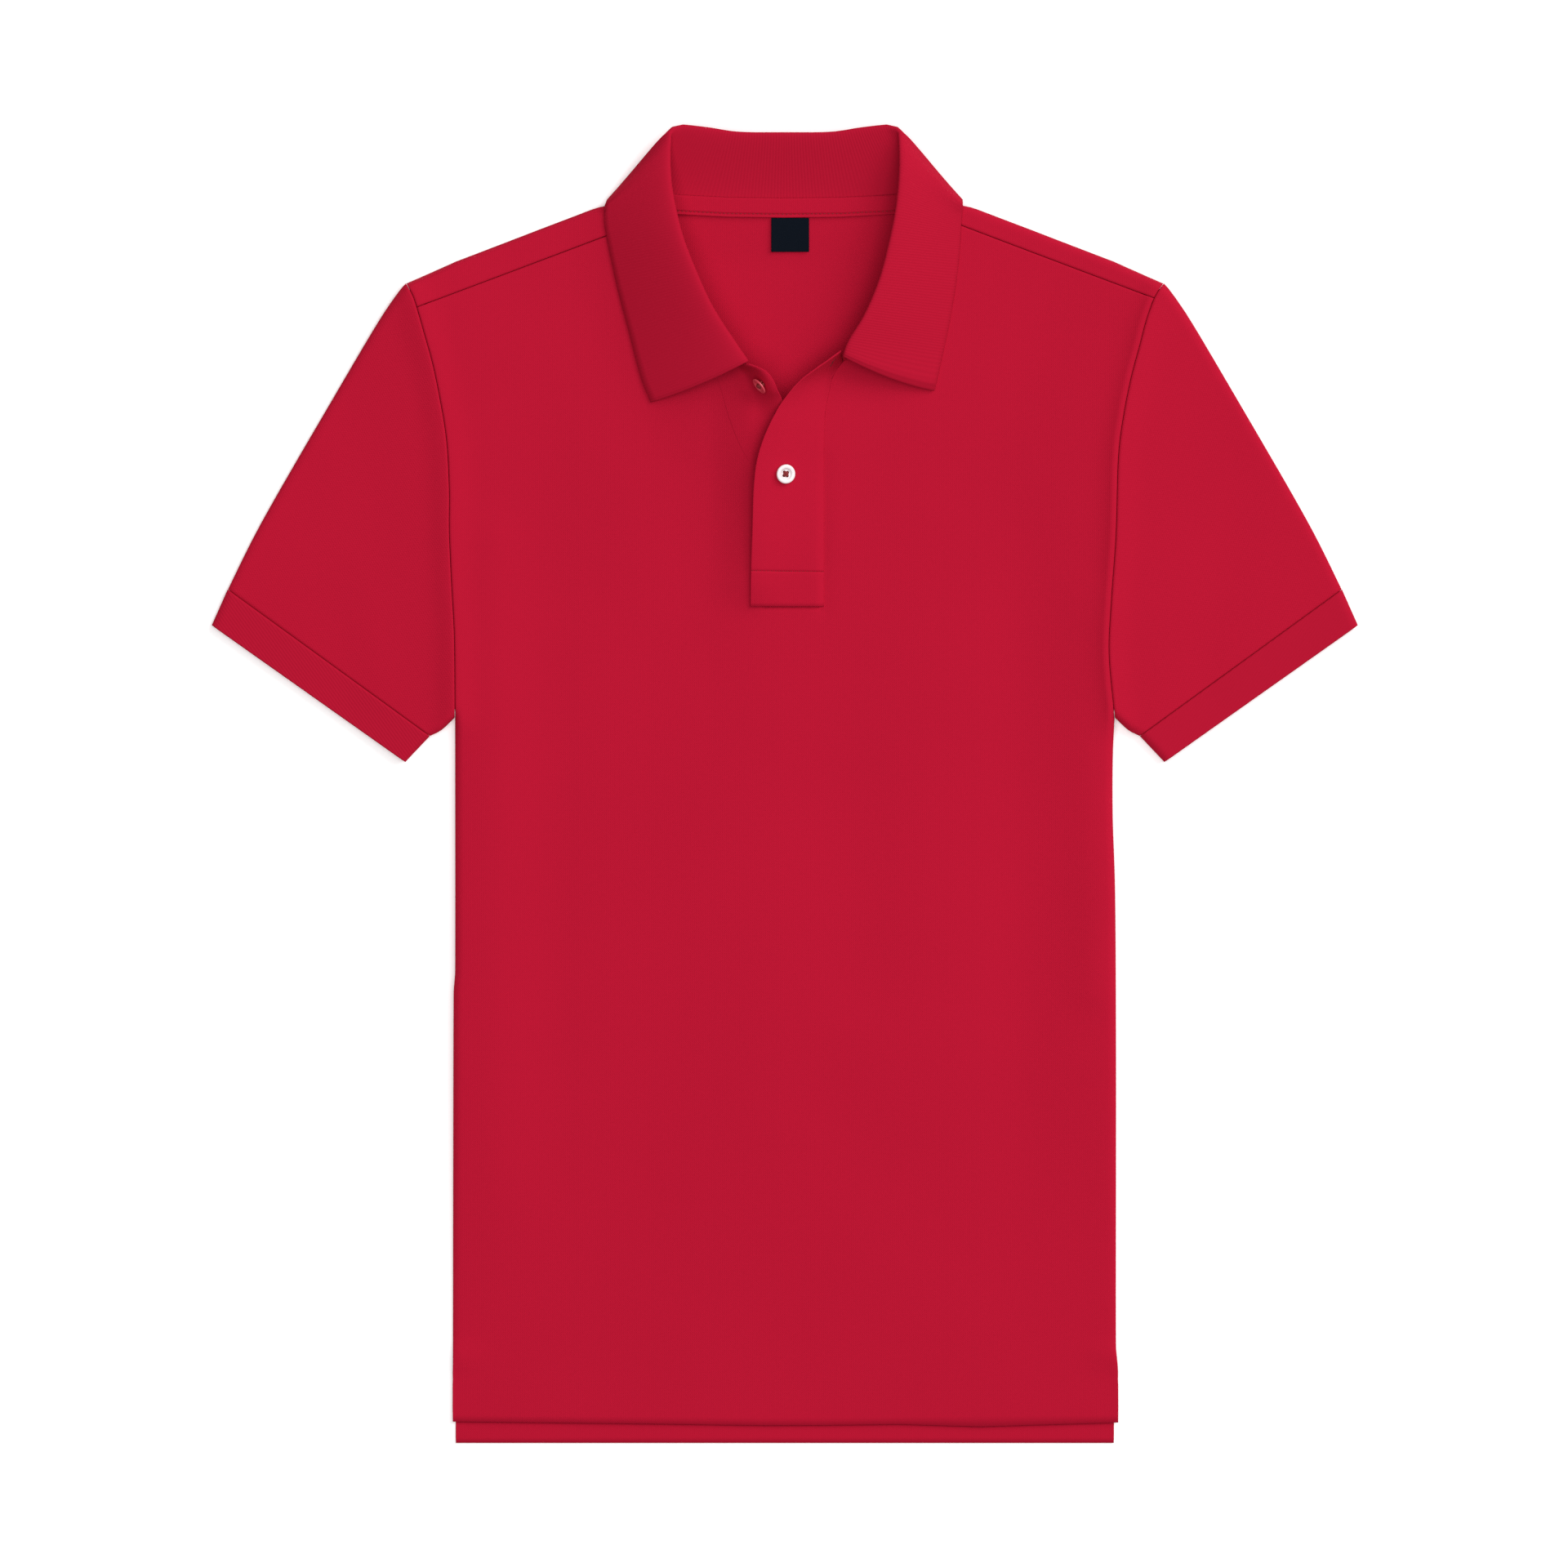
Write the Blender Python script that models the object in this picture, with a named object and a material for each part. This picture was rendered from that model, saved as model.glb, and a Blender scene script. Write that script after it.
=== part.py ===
"""Short-sleeved polo shirt, laid flat on its back panel with the front upwards.

The shirt lies in the XY plane: +X to the viewer's right, +Y towards the collar, +Z up from the surface.
Lengths below are in millimetres; make_object turns them into metres. The body and the sleeves are one
flattened envelope: its outline is folded cloth, an upper layer lies over an under layer, and both run
round the folds in a quarter ellipse. Every piece takes its height from that envelope, so neighbours meet.
"""
import math

import bmesh
import bpy
import numpy as np
from mathutils import Matrix, Vector

MILLIMETRE = 0.001

# Driving sizes of the whole shirt
SEAM_GAP = 0.3           # clearance between two sewn pieces
HALF_GAP = SEAM_GAP / 2
CLOTH = 1.2              # wall of the body, the sleeves and the under placket
RIB = 1.5                # wall of the knitted collar and cuffs
STRIP = 1.3              # wall of the top placket
TAPE = 1.0               # wall of the neck tape and the label
ENVELOPE = 4.3           # height of the two laid layers together
FOLD_REACH = 6.0         # width over which a layer turns into a fold
SHOULDER_TIP = (220.2, 290.9)
UNDERARM_Y = 38.5
BACK_HEM_Y = -383.1
VENT_EASE = (-320.0, -346.0)   # from the closed side seam to the two free hems
VENT_HEIGHT = 2.9
VENT_GAPE = 1.8
NECK_REACH = 50.0        # how far out the front rises towards the neck
NECK_RISE = 2.7
COLLAR_BED = 1.9         # the back panel clears the leaf that lies under it
BED_Y = (330.0, 300.0)
BED_X = (106.0, 131.0)
CUFF_HEIGHT = 4.6
PLACKET_PROUD = 0.35     # middle of the top placket above the front's outer face

# Outline of the folds, from the middle of the shirt outwards; x is the distance from the middle.
# The shoulder tucks in a little below the collar's leaf, which passes round it.
TOP_FOLD = (  # x, y
    (87.6, 341.2), (99.0, 337.2), (107.0, 335.6), (112.0, 334.1), (141.8, 322.8), (191.2, 303.8),
    SHOULDER_TIP, (225.9, 284.4),
    (238.2, 265.8), (266.2, 218.3), (293.8, 170.8), (309.5, 142.3), (323.7, 113.4), (333.2, 92.4))
UNDER_FOLD = ((191.7, UNDERARM_Y), (199.5, 31.4), (206.4, 27.8), (220.6, 12.8))  # x, y
SIDE_FOLD = {  # x, y
    "left": ((191.7, UNDERARM_Y), (191.7, -110.0), (192.6, -120.0), (193.1, BACK_HEM_Y)),
    "right": ((191.7, UNDERARM_Y), (190.7, 15.0), (190.7, -20.0), (192.1, -66.0), (192.6, -160.0),
              (192.6, -328.0), (193.6, -338.0), (193.6, BACK_HEM_Y)),
}
ARMHOLE = {  # x, y
    "left": (SHOULDER_TIP, (216.6, 284.6), (214.0, 277.2), (209.2, 260.5), (204.5, 243.4), (200.2, 222.5),
             (196.6, 199.7), (195.0, 170.8), (195.0, 147.0), (193.6, 113.8), (192.1, 85.3),
             (191.7, UNDERARM_Y)),
    "right": (SHOULDER_TIP, (216.2, 285.4), (213.4, 279.4), (209.7, 268.6), (205.9, 253.9), (201.2, 236.3),
              (196.7, 213.5), (193.8, 189.8), (192.4, 145.0), (189.6, 105.0), (188.4, 75.0),
              (191.7, UNDERARM_Y)),
}
SHOULDER_SEAM = {  # outer end y on the armhole, inner end y on the neckline
    "left": (277.2, 326.4),
    "right": (282.4, 331.4),
}
NECKLINE = {  # x, y of the front neckline, from the shoulder down to the placket
    "left": ((87.6, 342.7), (84.8, 331.3), (81.5, 320.4), (77.7, 308.5), (71.5, 291.9), (62.9, 274.3),
             (53.4, 259.1), (43.9, 246.8)),
    "right": ((87.6, 342.7), (84.8, 331.3), (81.5, 320.4), (77.7, 308.5), (71.5, 291.9), (62.9, 274.3),
              (53.4, 260.1), (44.0, 250.2), (36.0, 244.0), (28.0, 240.0)),
}
BACK_NECK = ((87.6, 342.7), (81.0, 340.3), (62.0, 338.0), (33.5, 336.5), (0.0, 336.1))  # x, y
SLIT_BOTTOM_Y = 103.3
SLIT = {  # x, y of the edge of the slit that the plackets fill, from the neckline down
    "left": ((43.9, 246.8), (38.2, 232.5), (26.4, 189.8), (21.0, 150.0), (20.0, SLIT_BOTTOM_Y)),
    "right": ((28.0, 240.0), (26.0, 230.0), (23.5, 218.3), (22.6, 205.0), (22.6, SLIT_BOTTOM_Y)),
}
FRONT_HEM = ((-193.0, -370.7), (-90.0, -371.8), (0.0, -373.1), (66.0, -372.2), (114.0, -373.6),
             (193.0, -371.2))  # x, y

# Collar sections from the front end to the middle of the back: the seam, the roll, the leaf's edge,
# the way the roll faces (0 up, 90 outwards, 180 down) and the size of its bend
COLLAR_BACK = (  # seam x, y, roll x, y, z, edge x, y, height of the edge, turn, bend
    (87.4, 343.0, 66.6, 378.4, 9.6, 103.0, 339.4, 4.6, 85, 3.4),
    (84.8, 342.2, 64.2, 381.2, 7.6, 99.5, 339.2, 1.8, 110, 3.2),
    (81.0, 340.3, 59.0, 382.5, 6.0, 92.9, 336.0, 0.8, 140, 3.2),
    (62.0, 338.0, 44.0, 380.9, 4.6, 69.0, 333.2, 0.8, 172, 3.3),
    (33.5, 336.5, 26.4, 378.4, 4.1, 35.9, 331.8, 0.8, 180, 3.2),
    (0.0, 336.1, 0.0, 378.1, 4.1, 0.0, 331.3, 0.8, 180, 3.2))
COLLAR_FRONT = {
    "left": (  # seam x, y, roll x, y, z, edge x, y, lift of the edge off the front, turn, bend
        (43.9, 247.2, 21.4, 245.4, 21.5, 77.7, 222.1, 2.5, 0, 5.0),
        (52.5, 259.1, 30.2, 258.2, 20.5, 83.4, 236.3, 1.5, 0, 5.0),
        (62.9, 274.3, 42.0, 276.7, 20.5, 90.0, 261.5, 0.6, 0, 5.0),
        (71.5, 291.9, 51.5, 297.1, 20.0, 96.7, 287.1, 0.4, 0, 5.0),
        (77.7, 308.5, 58.7, 315.6, 19.0, 101.4, 308.5, 0.4, 0, 5.0),
        (82.0, 322.8, 63.4, 333.2, 17.5, 104.3, 324.2, 0.4, 5, 5.0),
        (85.3, 333.2, 66.3, 350.3, 15.5, 104.7, 332.3, 0.6, 15, 4.5),
        (87.2, 339.8, 67.0, 367.9, 12.5, 104.3, 336.0, 3.2, 45, 4.0)),
    "right": (
        (29.8, 241.4, 31.8, 248.4, 21.5, 86.7, 228.7, 3.0, 0, 4.0),
        (43.5, 249.9, 37.0, 256.6, 21.0, 91.0, 248.0, 1.5, 0, 5.0),
        (59.0, 268.2, 46.6, 272.5, 20.5, 95.0, 266.5, 0.6, 0, 5.0),
        (70.0, 288.3, 55.0, 292.5, 20.0, 98.8, 288.5, 0.4, 0, 5.0),
        (77.2, 307.0, 60.4, 312.5, 19.0, 101.2, 309.0, 0.4, 0, 5.0),
        (82.0, 322.8, 64.4, 332.0, 17.5, 102.2, 324.0, 0.4, 5, 5.0),
        (85.3, 333.2, 66.5, 350.3, 15.5, 102.8, 332.0, 0.6, 15, 4.5),
        (87.2, 339.8, 67.0, 367.9, 12.5, 103.2, 336.2, 3.2, 45, 4.0)),
}
COLLAR_SPACING = 8.5
COLLAR_SEAM_GAP = 0.65   # the stand leaves the neckline at an angle, so it starts further off
STAND_STEPS, LEAF_STEPS = 6, 9

# Placket strips from the bottom up: both long edges and how far the free edge rises near the neck
PLACKET_TOP = (  # seam x, y, free x, y, rise
    (22.6, 103.3, -20.0, 103.3, 0.0), (22.6, 125.0, -19.6, 125.0, 0.0), (22.6, 147.0, -18.9, 147.0, 0.2),
    (22.6, 178.4, -17.6, 178.4, 1.0), (22.5, 197.2, -13.6, 197.2, 3.5), (22.9, 214.2, -5.6, 215.0, 8.0),
    (23.9, 223.3, 0.6, 224.6, 11.0), (25.4, 230.6, 7.8, 233.2, 13.5), (26.8, 235.6, 15.0, 239.0, 15.0),
    (27.9, 239.2, 24.0, 245.2, 15.5))
PLACKET_UNDER = (  # seam x, y, free x, y, rise
    (-20.2, 103.3, 20.4, 103.3, 0.0), (-20.2, 135.0, 20.4, 135.0, 0.0), (-23.0, 172.0, 15.0, 168.0, 0.0),
    (-27.3, 193.0, 8.3, 188.0, 0.2), (-32.0, 213.0, 3.1, 207.0, 2.4), (-35.4, 223.5, -1.2, 222.0, 9.5),
    (-38.2, 231.5, -4.0, 229.2, 15.0), (-41.0, 237.5, -6.9, 236.2, 17.5), (-43.0, 241.5, -11.6, 241.6, 18.0),
    (-44.0, 246.0, -19.0, 244.4, 17.5))
UNDER_LAP = 5.0          # the under placket reaches this far below the left front
UNDER_DROP = 2.3         # middle of the under placket below the front's outer face
UNDER_CURL, TOP_CURL = 3.2, 1.5
PLACKET_SPACING, PLACKET_COLUMNS = 9.0, 8
SEAT_SPACING, SEAT_COLUMNS = 3.0, 48   # points among which a button finds its seat

TAPE_EDGES = (-6.7, 5.7)  # across the back neck seam, towards the hem and towards the roll
TAPE_HALF_LENGTH = 74.0
TAPE_FLOOR = 3.65
TAPE_COLUMNS, LABEL_ROWS = 17, 7
LABEL = {"left": -7.8, "right": 14.0, "bottom": 309.5, "top": 329.0}

BUTTON_RADIUS, BUTTON_HEIGHT = 5.8, 2.2
BUTTON_RIM = (  # radius, height up the button, as shares of its size
    (0.72, 0.0), (0.96, 0.22), (1.0, 0.5), (0.96, 0.82), (0.86, 1.0), (0.68, 0.96), (0.56, 0.72))
HOLE_RADIUS, HOLE_OFFSET = 0.75, 1.55
BUTTON_SECOND_XY = (0.7, 180.4)
BUTTON_TOP_XY = (-14.6, 230.4)
THREAD_GAP = {"button_top": 0.8, "button_second": 0.35}  # thread between the button and the strip
BUTTON_SIDES, HOLE_SIDES = 24, 8

CUFF_SEAM = ((323.9, 113.1), (206.4, 27.8))   # x, y at the top fold and at the underarm
CUFF_EDGE = ((333.2, 92.4), (220.6, 12.8))

# How finely each panel's grid is divided
SHOULDER_POINTS = 7      # rows of TOP_FOLD from the neck to the shoulder's tip
TIP_STEPS, ARM_STEPS = 4, 2
FRONT_TOP_ROWS = 12      # rows from the shoulder seam to the slit's bottom
FRONT_ARM_ROWS = 4       # rows from there to the underarm
SLIT_ROW_Y = 100.0       # the armhole's points above this height belong to the first of them
FRONT_LEVELS = ((8, VENT_EASE[0]), (4, VENT_EASE[1]), (1, None))  # rows below the underarm, y
FRONT_FOLD_STEPS, FRONT_PLAIN_STEPS = 4, 7
SLIT_CROWDING = 1.6      # the front's columns draw closer together towards the slit
BACK_LEVELS = ((8, VENT_EASE[0]), (4, VENT_EASE[1]), (1, BACK_HEM_Y))
BACK_FOLD_STEPS, BACK_OUTER_STEPS, BACK_NECK_STEPS = 4, 5, 5
SLEEVE_SECTIONS, CUFF_SECTIONS = 9, 4

RED = (0.497, 0.0095, 0.0319)
DEEP_RED = (0.42, 0.008, 0.028)
PEARL = (0.86, 0.84, 0.83)
BLACK = (0.012, 0.013, 0.018)


# ---- numbers along tables and outlines ----

def smooth(value):
    """Ease a share from 0 to 1 with level ends."""
    share = min(max(value, 0.0), 1.0)
    return share * share * (3.0 - 2.0 * share)


def mix(start, end, share):
    """Point or number at a share of the way from start to end."""
    return start + (end - start) * share


def along(table, key, column=0, by=1):
    """Read a column of a table at a value of another one, on straight lines between its rows."""
    rows = sorted((row[by], row[column]) for row in table)
    return float(np.interp(key, [row[0] for row in rows], [row[1] for row in rows]))


def lengths(points):
    """Distance travelled along a row of points at each of them."""
    steps = np.linalg.norm(np.diff(points, axis=0), axis=1)
    return np.concatenate(([0.0], np.cumsum(steps)))


def at_shares(points, shares):
    """Points of an open line at shares of its length."""
    points = np.asarray(points, float)
    travelled = lengths(points)
    return np.array([[np.interp(share * travelled[-1], travelled, points[:, axis])
                      for axis in range(points.shape[1])] for share in shares])


def curve_through(rows, spacing, reach=2):
    """Rows resampled on a smooth curve through them, about one spacing apart in their first columns."""
    rows = np.asarray(rows, float)
    padded = np.vstack((2 * rows[0] - rows[1], rows, 2 * rows[-1] - rows[-2]))
    result = []
    for index in range(1, len(padded) - 2):
        before, start, end, after = padded[index - 1:index + 3]
        steps = max(1, round(float(np.linalg.norm((end - start)[:reach])) / spacing))
        for step in range(steps):
            t = step / steps
            result.append(0.5 * (2 * start + (end - before) * t
                                 + (2 * before - 5 * start + 4 * end - after) * t ** 2
                                 + (3 * start - before - 3 * end + after) * t ** 3))
    result.append(rows[-1])
    return np.array(result)


def fold_shares(count):
    """Distances from a fold that turn its quarter ellipse by equal angles."""
    return [FOLD_REACH * (1.0 - math.cos(math.pi / 2 * step / count)) for step in range(count + 1)]


def across(length, fold_steps, plain_steps):
    """Distances along a row that starts on a fold: close together there, then even."""
    folded = fold_shares(fold_steps)
    even = np.linspace(FOLD_REACH, length, plain_steps + 1)[1:]
    return np.concatenate((folded, even))


# ---- the envelope that the laid layers follow ----

class Outline:
    """A chain of folded edges on one side of the shirt, with its inward direction at each point."""

    def __init__(self, side, table, inside):
        turned = -1.0 if side == "left" else 1.0
        self.points = np.array([(turned * x, y) for x, y in table])
        steps = np.diff(self.points, axis=0)
        normals = np.column_stack((-steps[:, 1], steps[:, 0]))
        normals /= np.linalg.norm(normals, axis=1)[:, None]
        towards = np.array((turned * inside[0], inside[1])) - self.points[:-1]
        normals *= np.sign(np.sum(normals * towards, axis=1))[:, None]
        self.inward = np.vstack((normals[0], normals[:-1] + normals[1:], normals[-1]))
        self.inward /= np.linalg.norm(self.inward, axis=1)[:, None]

    def nearest(self, x, y):
        """Distance from a point to the chain, and the inward direction where they are nearest."""
        starts, steps = self.points[:-1], np.diff(self.points, axis=0)
        shares = np.sum((np.array((x, y)) - starts) * steps, axis=1) / np.sum(steps * steps, axis=1)
        shares = np.clip(shares, 0.0, 1.0)
        gaps = np.linalg.norm(starts + steps * shares[:, None] - np.array((x, y)), axis=1)
        best = int(np.argmin(gaps))
        inward = mix(self.inward[best], self.inward[best + 1], shares[best])
        return gaps[best], inward / np.linalg.norm(inward)


def outlines(*names):
    """Fold chains of both sides, by name."""
    chains = []
    for side in ("left", "right"):
        if "top" in names:
            chains.append(Outline(side, TOP_FOLD, (150.0, 0.0)))
        if "side" in names:
            chains.append(Outline(side, SIDE_FOLD[side], (0.0, -100.0)))
        if "under" in names:
            chains.append(Outline(side, UNDER_FOLD, (270.0, 130.0)))
    return chains


BODY_FOLDS = outlines("top", "side")
SLEEVE_FOLDS = outlines("top", "under")
NECK_LINES = [np.array([(x * turned, y) for x, y in NECKLINE[side] + SLIT[side][1:3]])
              for side, turned in (("left", -1.0), ("right", 1.0))]


def to_line(line, x, y):
    """Distance from a point to an open line."""
    starts, steps = line[:-1], np.diff(line, axis=0)
    shares = np.sum((np.array((x, y)) - starts) * steps, axis=1) / np.sum(steps * steps, axis=1)
    shares = np.clip(shares, 0.0, 1.0)
    return float(np.min(np.linalg.norm(starts + steps * shares[:, None] - np.array((x, y)), axis=1)))


def vent_share(y):
    """0 where the side seam is closed, 1 where the hems lie free."""
    return smooth((VENT_EASE[0] - y) / (VENT_EASE[0] - VENT_EASE[1]))


def upper_level(x, y, fold_gap):
    """Height of the upper layer's outer face away from the folds."""
    neck = min(to_line(line, x, y) for line in NECK_LINES)
    swell = 0.25 * math.sin(x / 47.0 + 0.6) * math.cos(y / 118.0 - 0.4)
    level = ENVELOPE + swell + NECK_RISE * (1.0 - smooth(neck / NECK_REACH))
    vent = vent_share(y)
    gape = VENT_GAPE * 4.0 * vent * (1.0 - vent) * (1.0 - smooth(fold_gap / 25.0))
    return mix(level, VENT_HEIGHT, vent) + gape


def lower_level(x, y):
    """Height of the under layer's outer face away from the folds."""
    along_y = smooth((y - BED_Y[1]) / (BED_Y[0] - BED_Y[1]))
    return COLLAR_BED * along_y * (1.0 - smooth((abs(x) - BED_X[0]) / (BED_X[1] - BED_X[0])))


def skin(layer, x, y, folds, raised=0.0):
    """Point and outward direction of the envelope's upper (+1) or under (-1) face over x, y."""
    gap, inward = min((fold.nearest(x, y) for fold in folds), key=lambda found: found[0])
    turn = min(gap / FOLD_REACH, 1.0)
    free = vent_share(y)
    bend = mix(math.sqrt(1.0 - (1.0 - turn) ** 2), 1.0, free)
    top, bottom = upper_level(x, y, gap) + raised, lower_level(x, y)
    half = (top - bottom) / 2
    flat_out = (turn - 1.0) * (1.0 - free)
    direction = np.array((flat_out * inward[0], flat_out * inward[1], layer * bend))
    return np.array((x, y, bottom + half + layer * half * bend)), direction / np.linalg.norm(direction)


def skin_grid(layer, places, folds):
    """Points and directions of one layer over a grid of x, y places."""
    points, directions = np.zeros(places.shape[:2] + (3,)), np.zeros(places.shape[:2] + (3,))
    for index in np.ndindex(places.shape[:2]):
        points[index], directions[index] = skin(layer, *places[index], folds)
    return points, directions


# ---- solids ----

def finish(name, colour, roughness):
    """Plain cloth or button finish."""
    material = bpy.data.materials.new(name)
    material.use_nodes = True
    shader = material.node_tree.nodes["Principled BSDF"]
    shader.inputs["Base Color"].default_value = (*colour, 1.0)
    shader.inputs["Roughness"].default_value = roughness
    shader.inputs["Metallic"].default_value = 0.0
    return material


def make_object(name, mesh_builder, material):
    """Object from a bmesh in millimetres, with its faces outwards and its round parts smooth."""
    bmesh.ops.recalc_face_normals(mesh_builder, faces=mesh_builder.faces[:])
    if mesh_builder.calc_volume(signed=True) < 0.0:
        bmesh.ops.reverse_faces(mesh_builder, faces=mesh_builder.faces[:])
    bmesh.ops.scale(mesh_builder, vec=(MILLIMETRE,) * 3, verts=mesh_builder.verts[:])
    mesh = bpy.data.meshes.new(name)
    mesh_builder.to_mesh(mesh)
    mesh_builder.free()
    mesh.shade_smooth()
    mesh.set_sharp_from_angle(angle=math.radians(40.0))
    mesh.materials.append(material)
    made = bpy.data.objects.new(name, mesh)
    bpy.context.collection.objects.link(made)
    return made


def wall(name, points, directions, thickness, material, kept=None, ring=False):
    """Closed wall from a grid of outer points, their outward directions and a thickness.

    kept marks the cells that are cloth, so a grid can have a notch. A ring joins its last column to
    its first.
    """
    rows, columns = points.shape[:2]
    cell_columns = columns if ring else columns - 1
    kept = np.ones((rows - 1, cell_columns), bool) if kept is None else kept
    faces = [points, points - directions * thickness]
    builder = bmesh.new()
    corners = {}

    def corner(face, row, column):
        key = (face, row, column % columns)
        if key not in corners:
            corners[key] = builder.verts.new(faces[face][key[1], key[2]])
        return corners[key]

    edges = {}
    for row, column in zip(*np.nonzero(kept)):
        around = [(row, column), (row, column + 1), (row + 1, column + 1), (row + 1, column)]
        for face in (0, 1):
            builder.faces.new([corner(face, *place) for place in around])
        for start, end in zip(around, around[1:] + around[:1]):
            key = frozenset(((start[0], start[1] % columns), (end[0], end[1] % columns)))
            edges[key] = None if key in edges else (start, end)
    for start, end in filter(None, edges.values()):
        builder.faces.new([corner(0, *start), corner(0, *end), corner(1, *end), corner(1, *start)])
    return make_object(name, builder, material)


def grid_directions(points):
    """Unit directions square to a grid of points."""
    down, over = np.gradient(points, axis=0), np.gradient(points, axis=1)
    directions = np.cross(down, over)
    return directions / np.linalg.norm(directions, axis=2)[:, :, None]


def middle_wall(name, points, thickness, material):
    """Closed wall on both sides of a grid of middle points."""
    directions = grid_directions(points)
    return wall(name, points + directions * thickness / 2, directions, thickness, material)


# ---- front and back ----

def armhole_points(side):
    """Points of an armhole from the shoulder's tip to the underarm, closer together at both folds."""
    rows = [np.array(row) for row in ARMHOLE[side]]
    first, last = rows[1] - rows[0], rows[-2] - rows[-1]
    near_tip = [rows[0] + first * step / np.linalg.norm(first) for step in fold_shares(TIP_STEPS)[1:]]
    near_arm = [rows[-1] + last * step / np.linalg.norm(last) for step in fold_shares(ARM_STEPS)[:0:-1]]
    return rows[:1] + near_tip + rows[2:-1] + near_arm + rows[-1:]


def outer_x(side, y):
    """Distance of the back's edge from the middle: the armhole, then the side fold."""
    if y > UNDERARM_Y:
        return along(ARMHOLE[side], y) - HALF_GAP
    return along(SIDE_FOLD[side], y)


def refine(points, count):
    """Split the longest stretches of a line until it has count stretches."""
    points = [np.array(point, float) for point in points]
    while len(points) <= count:
        longest = int(np.argmax(np.diff(lengths(np.array(points)))))
        points.insert(longest + 1, (points[longest] + points[longest + 1]) / 2)
    return points


def front_rows(side):
    """Both ends of the front's rows on one side: x, y at the outer edge and at the slit's edge."""
    seam_outer, seam_inner = (y - HALF_GAP for y in SHOULDER_SEAM[side])
    arm = [point - (HALF_GAP, 0.0) for point in armhole_points(side) if point[1] < seam_outer - FOLD_REACH]
    start = np.array((along(ARMHOLE[side], seam_outer) - HALF_GAP, seam_outer))
    outer = refine([start] + [point for point in arm if point[1] > SLIT_ROW_Y], FRONT_TOP_ROWS)
    outer += refine([outer[-1]] + [point for point in arm if point[1] <= SLIT_ROW_Y], FRONT_ARM_ROWS)[1:]
    outer[-1][0] += HALF_GAP
    line = [(along(NECKLINE[side], seam_inner), seam_inner)]
    line += [row for row in NECKLINE[side] if row[1] < seam_inner] + list(SLIT[side][1:])
    line[-1] = (line[-1][0], SLIT_BOTTOM_Y - HALF_GAP)
    inner = refine([(x + HALF_GAP, y) for x, y in line], FRONT_TOP_ROWS)
    foot = inner[-1]
    inner += [np.array((foot[0], y)) for y in np.linspace(foot[1], UNDERARM_Y, FRONT_ARM_ROWS + 1)[1:]]
    for count, target in FRONT_LEVELS:
        hem = target is None
        for y in np.linspace(outer[-1][1], along(FRONT_HEM, 193.0, 1, 0) if hem else target, count + 1)[1:]:
            outer.append(np.array((along(SIDE_FOLD[side], y), y)))
        for y in np.linspace(inner[-1][1], along(FRONT_HEM, 0.0, 1, 0) if hem else target, count + 1)[1:]:
            inner.append(np.array((foot[0], y)))
    return outer, inner


def front_half(side):
    """Grid of x, y places of one half of the front, from its outer edge to the slit."""
    turned = -1.0 if side == "left" else 1.0
    even = np.linspace(0.0, 1.0, FRONT_PLAIN_STEPS + 1)[1:]
    crowded = 1.0 - (1.0 - even) ** SLIT_CROWDING
    rows = []
    for start, end in zip(*front_rows(side)):
        span = np.linalg.norm(end - start)
        steps = np.concatenate((fold_shares(FRONT_FOLD_STEPS), mix(FOLD_REACH, span, crowded)))
        rows.append([mix(start, end, step / span) * (turned, 1.0) for step in steps])
    places = np.array(rows)
    for place in places[-1]:
        place[1] = along(FRONT_HEM, place[0], 1, 0)
    return places


def build_front(material):
    """Front panel: a neckline above, a slit for the plackets, both sides down to the hem."""
    left, right = front_half("left"), front_half("right")[:, ::-1]
    bridge = (left[:, -1:] + right[:, :1]) / 2
    places = np.concatenate((left, bridge, right), axis=1)
    points, directions = skin_grid(1, places, BODY_FOLDS)
    kept = np.ones((places.shape[0] - 1, places.shape[1] - 1), bool)
    kept[:FRONT_TOP_ROWS, left.shape[1] - 1:left.shape[1] + 1] = False
    open_side_seam(points, 1)
    wall("front", points, directions, CLOTH, material, kept)


def open_side_seam(points, layer):
    """Part the two layers at the side folds by the seam's clearance."""
    for point in points.reshape(-1, 3):
        if point[1] < UNDERARM_Y + FOLD_REACH:
            middle = (upper_level(point[0], point[1], 0.0) + lower_level(point[0], point[1])) / 2
            limit = middle + layer * HALF_GAP
            point[2] = max(point[2], limit) if layer > 0 else min(point[2], limit)


def neck_point(side, y):
    """x of the neckline's side at a height, a half gap outside the collar's seam."""
    return along(NECKLINE[side], y) + HALF_GAP


def back_columns(outer):
    """Distances from the middle of the back's columns at a row, from the edge to the middle."""
    neck = TOP_FOLD[0][0] + HALF_GAP
    folded = [outer - step for step in across(outer - neck, BACK_FOLD_STEPS, BACK_OUTER_STEPS)]
    return np.array(folded + list(np.linspace(neck, 0.0, BACK_NECK_STEPS + 1)[1:]))


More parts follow.
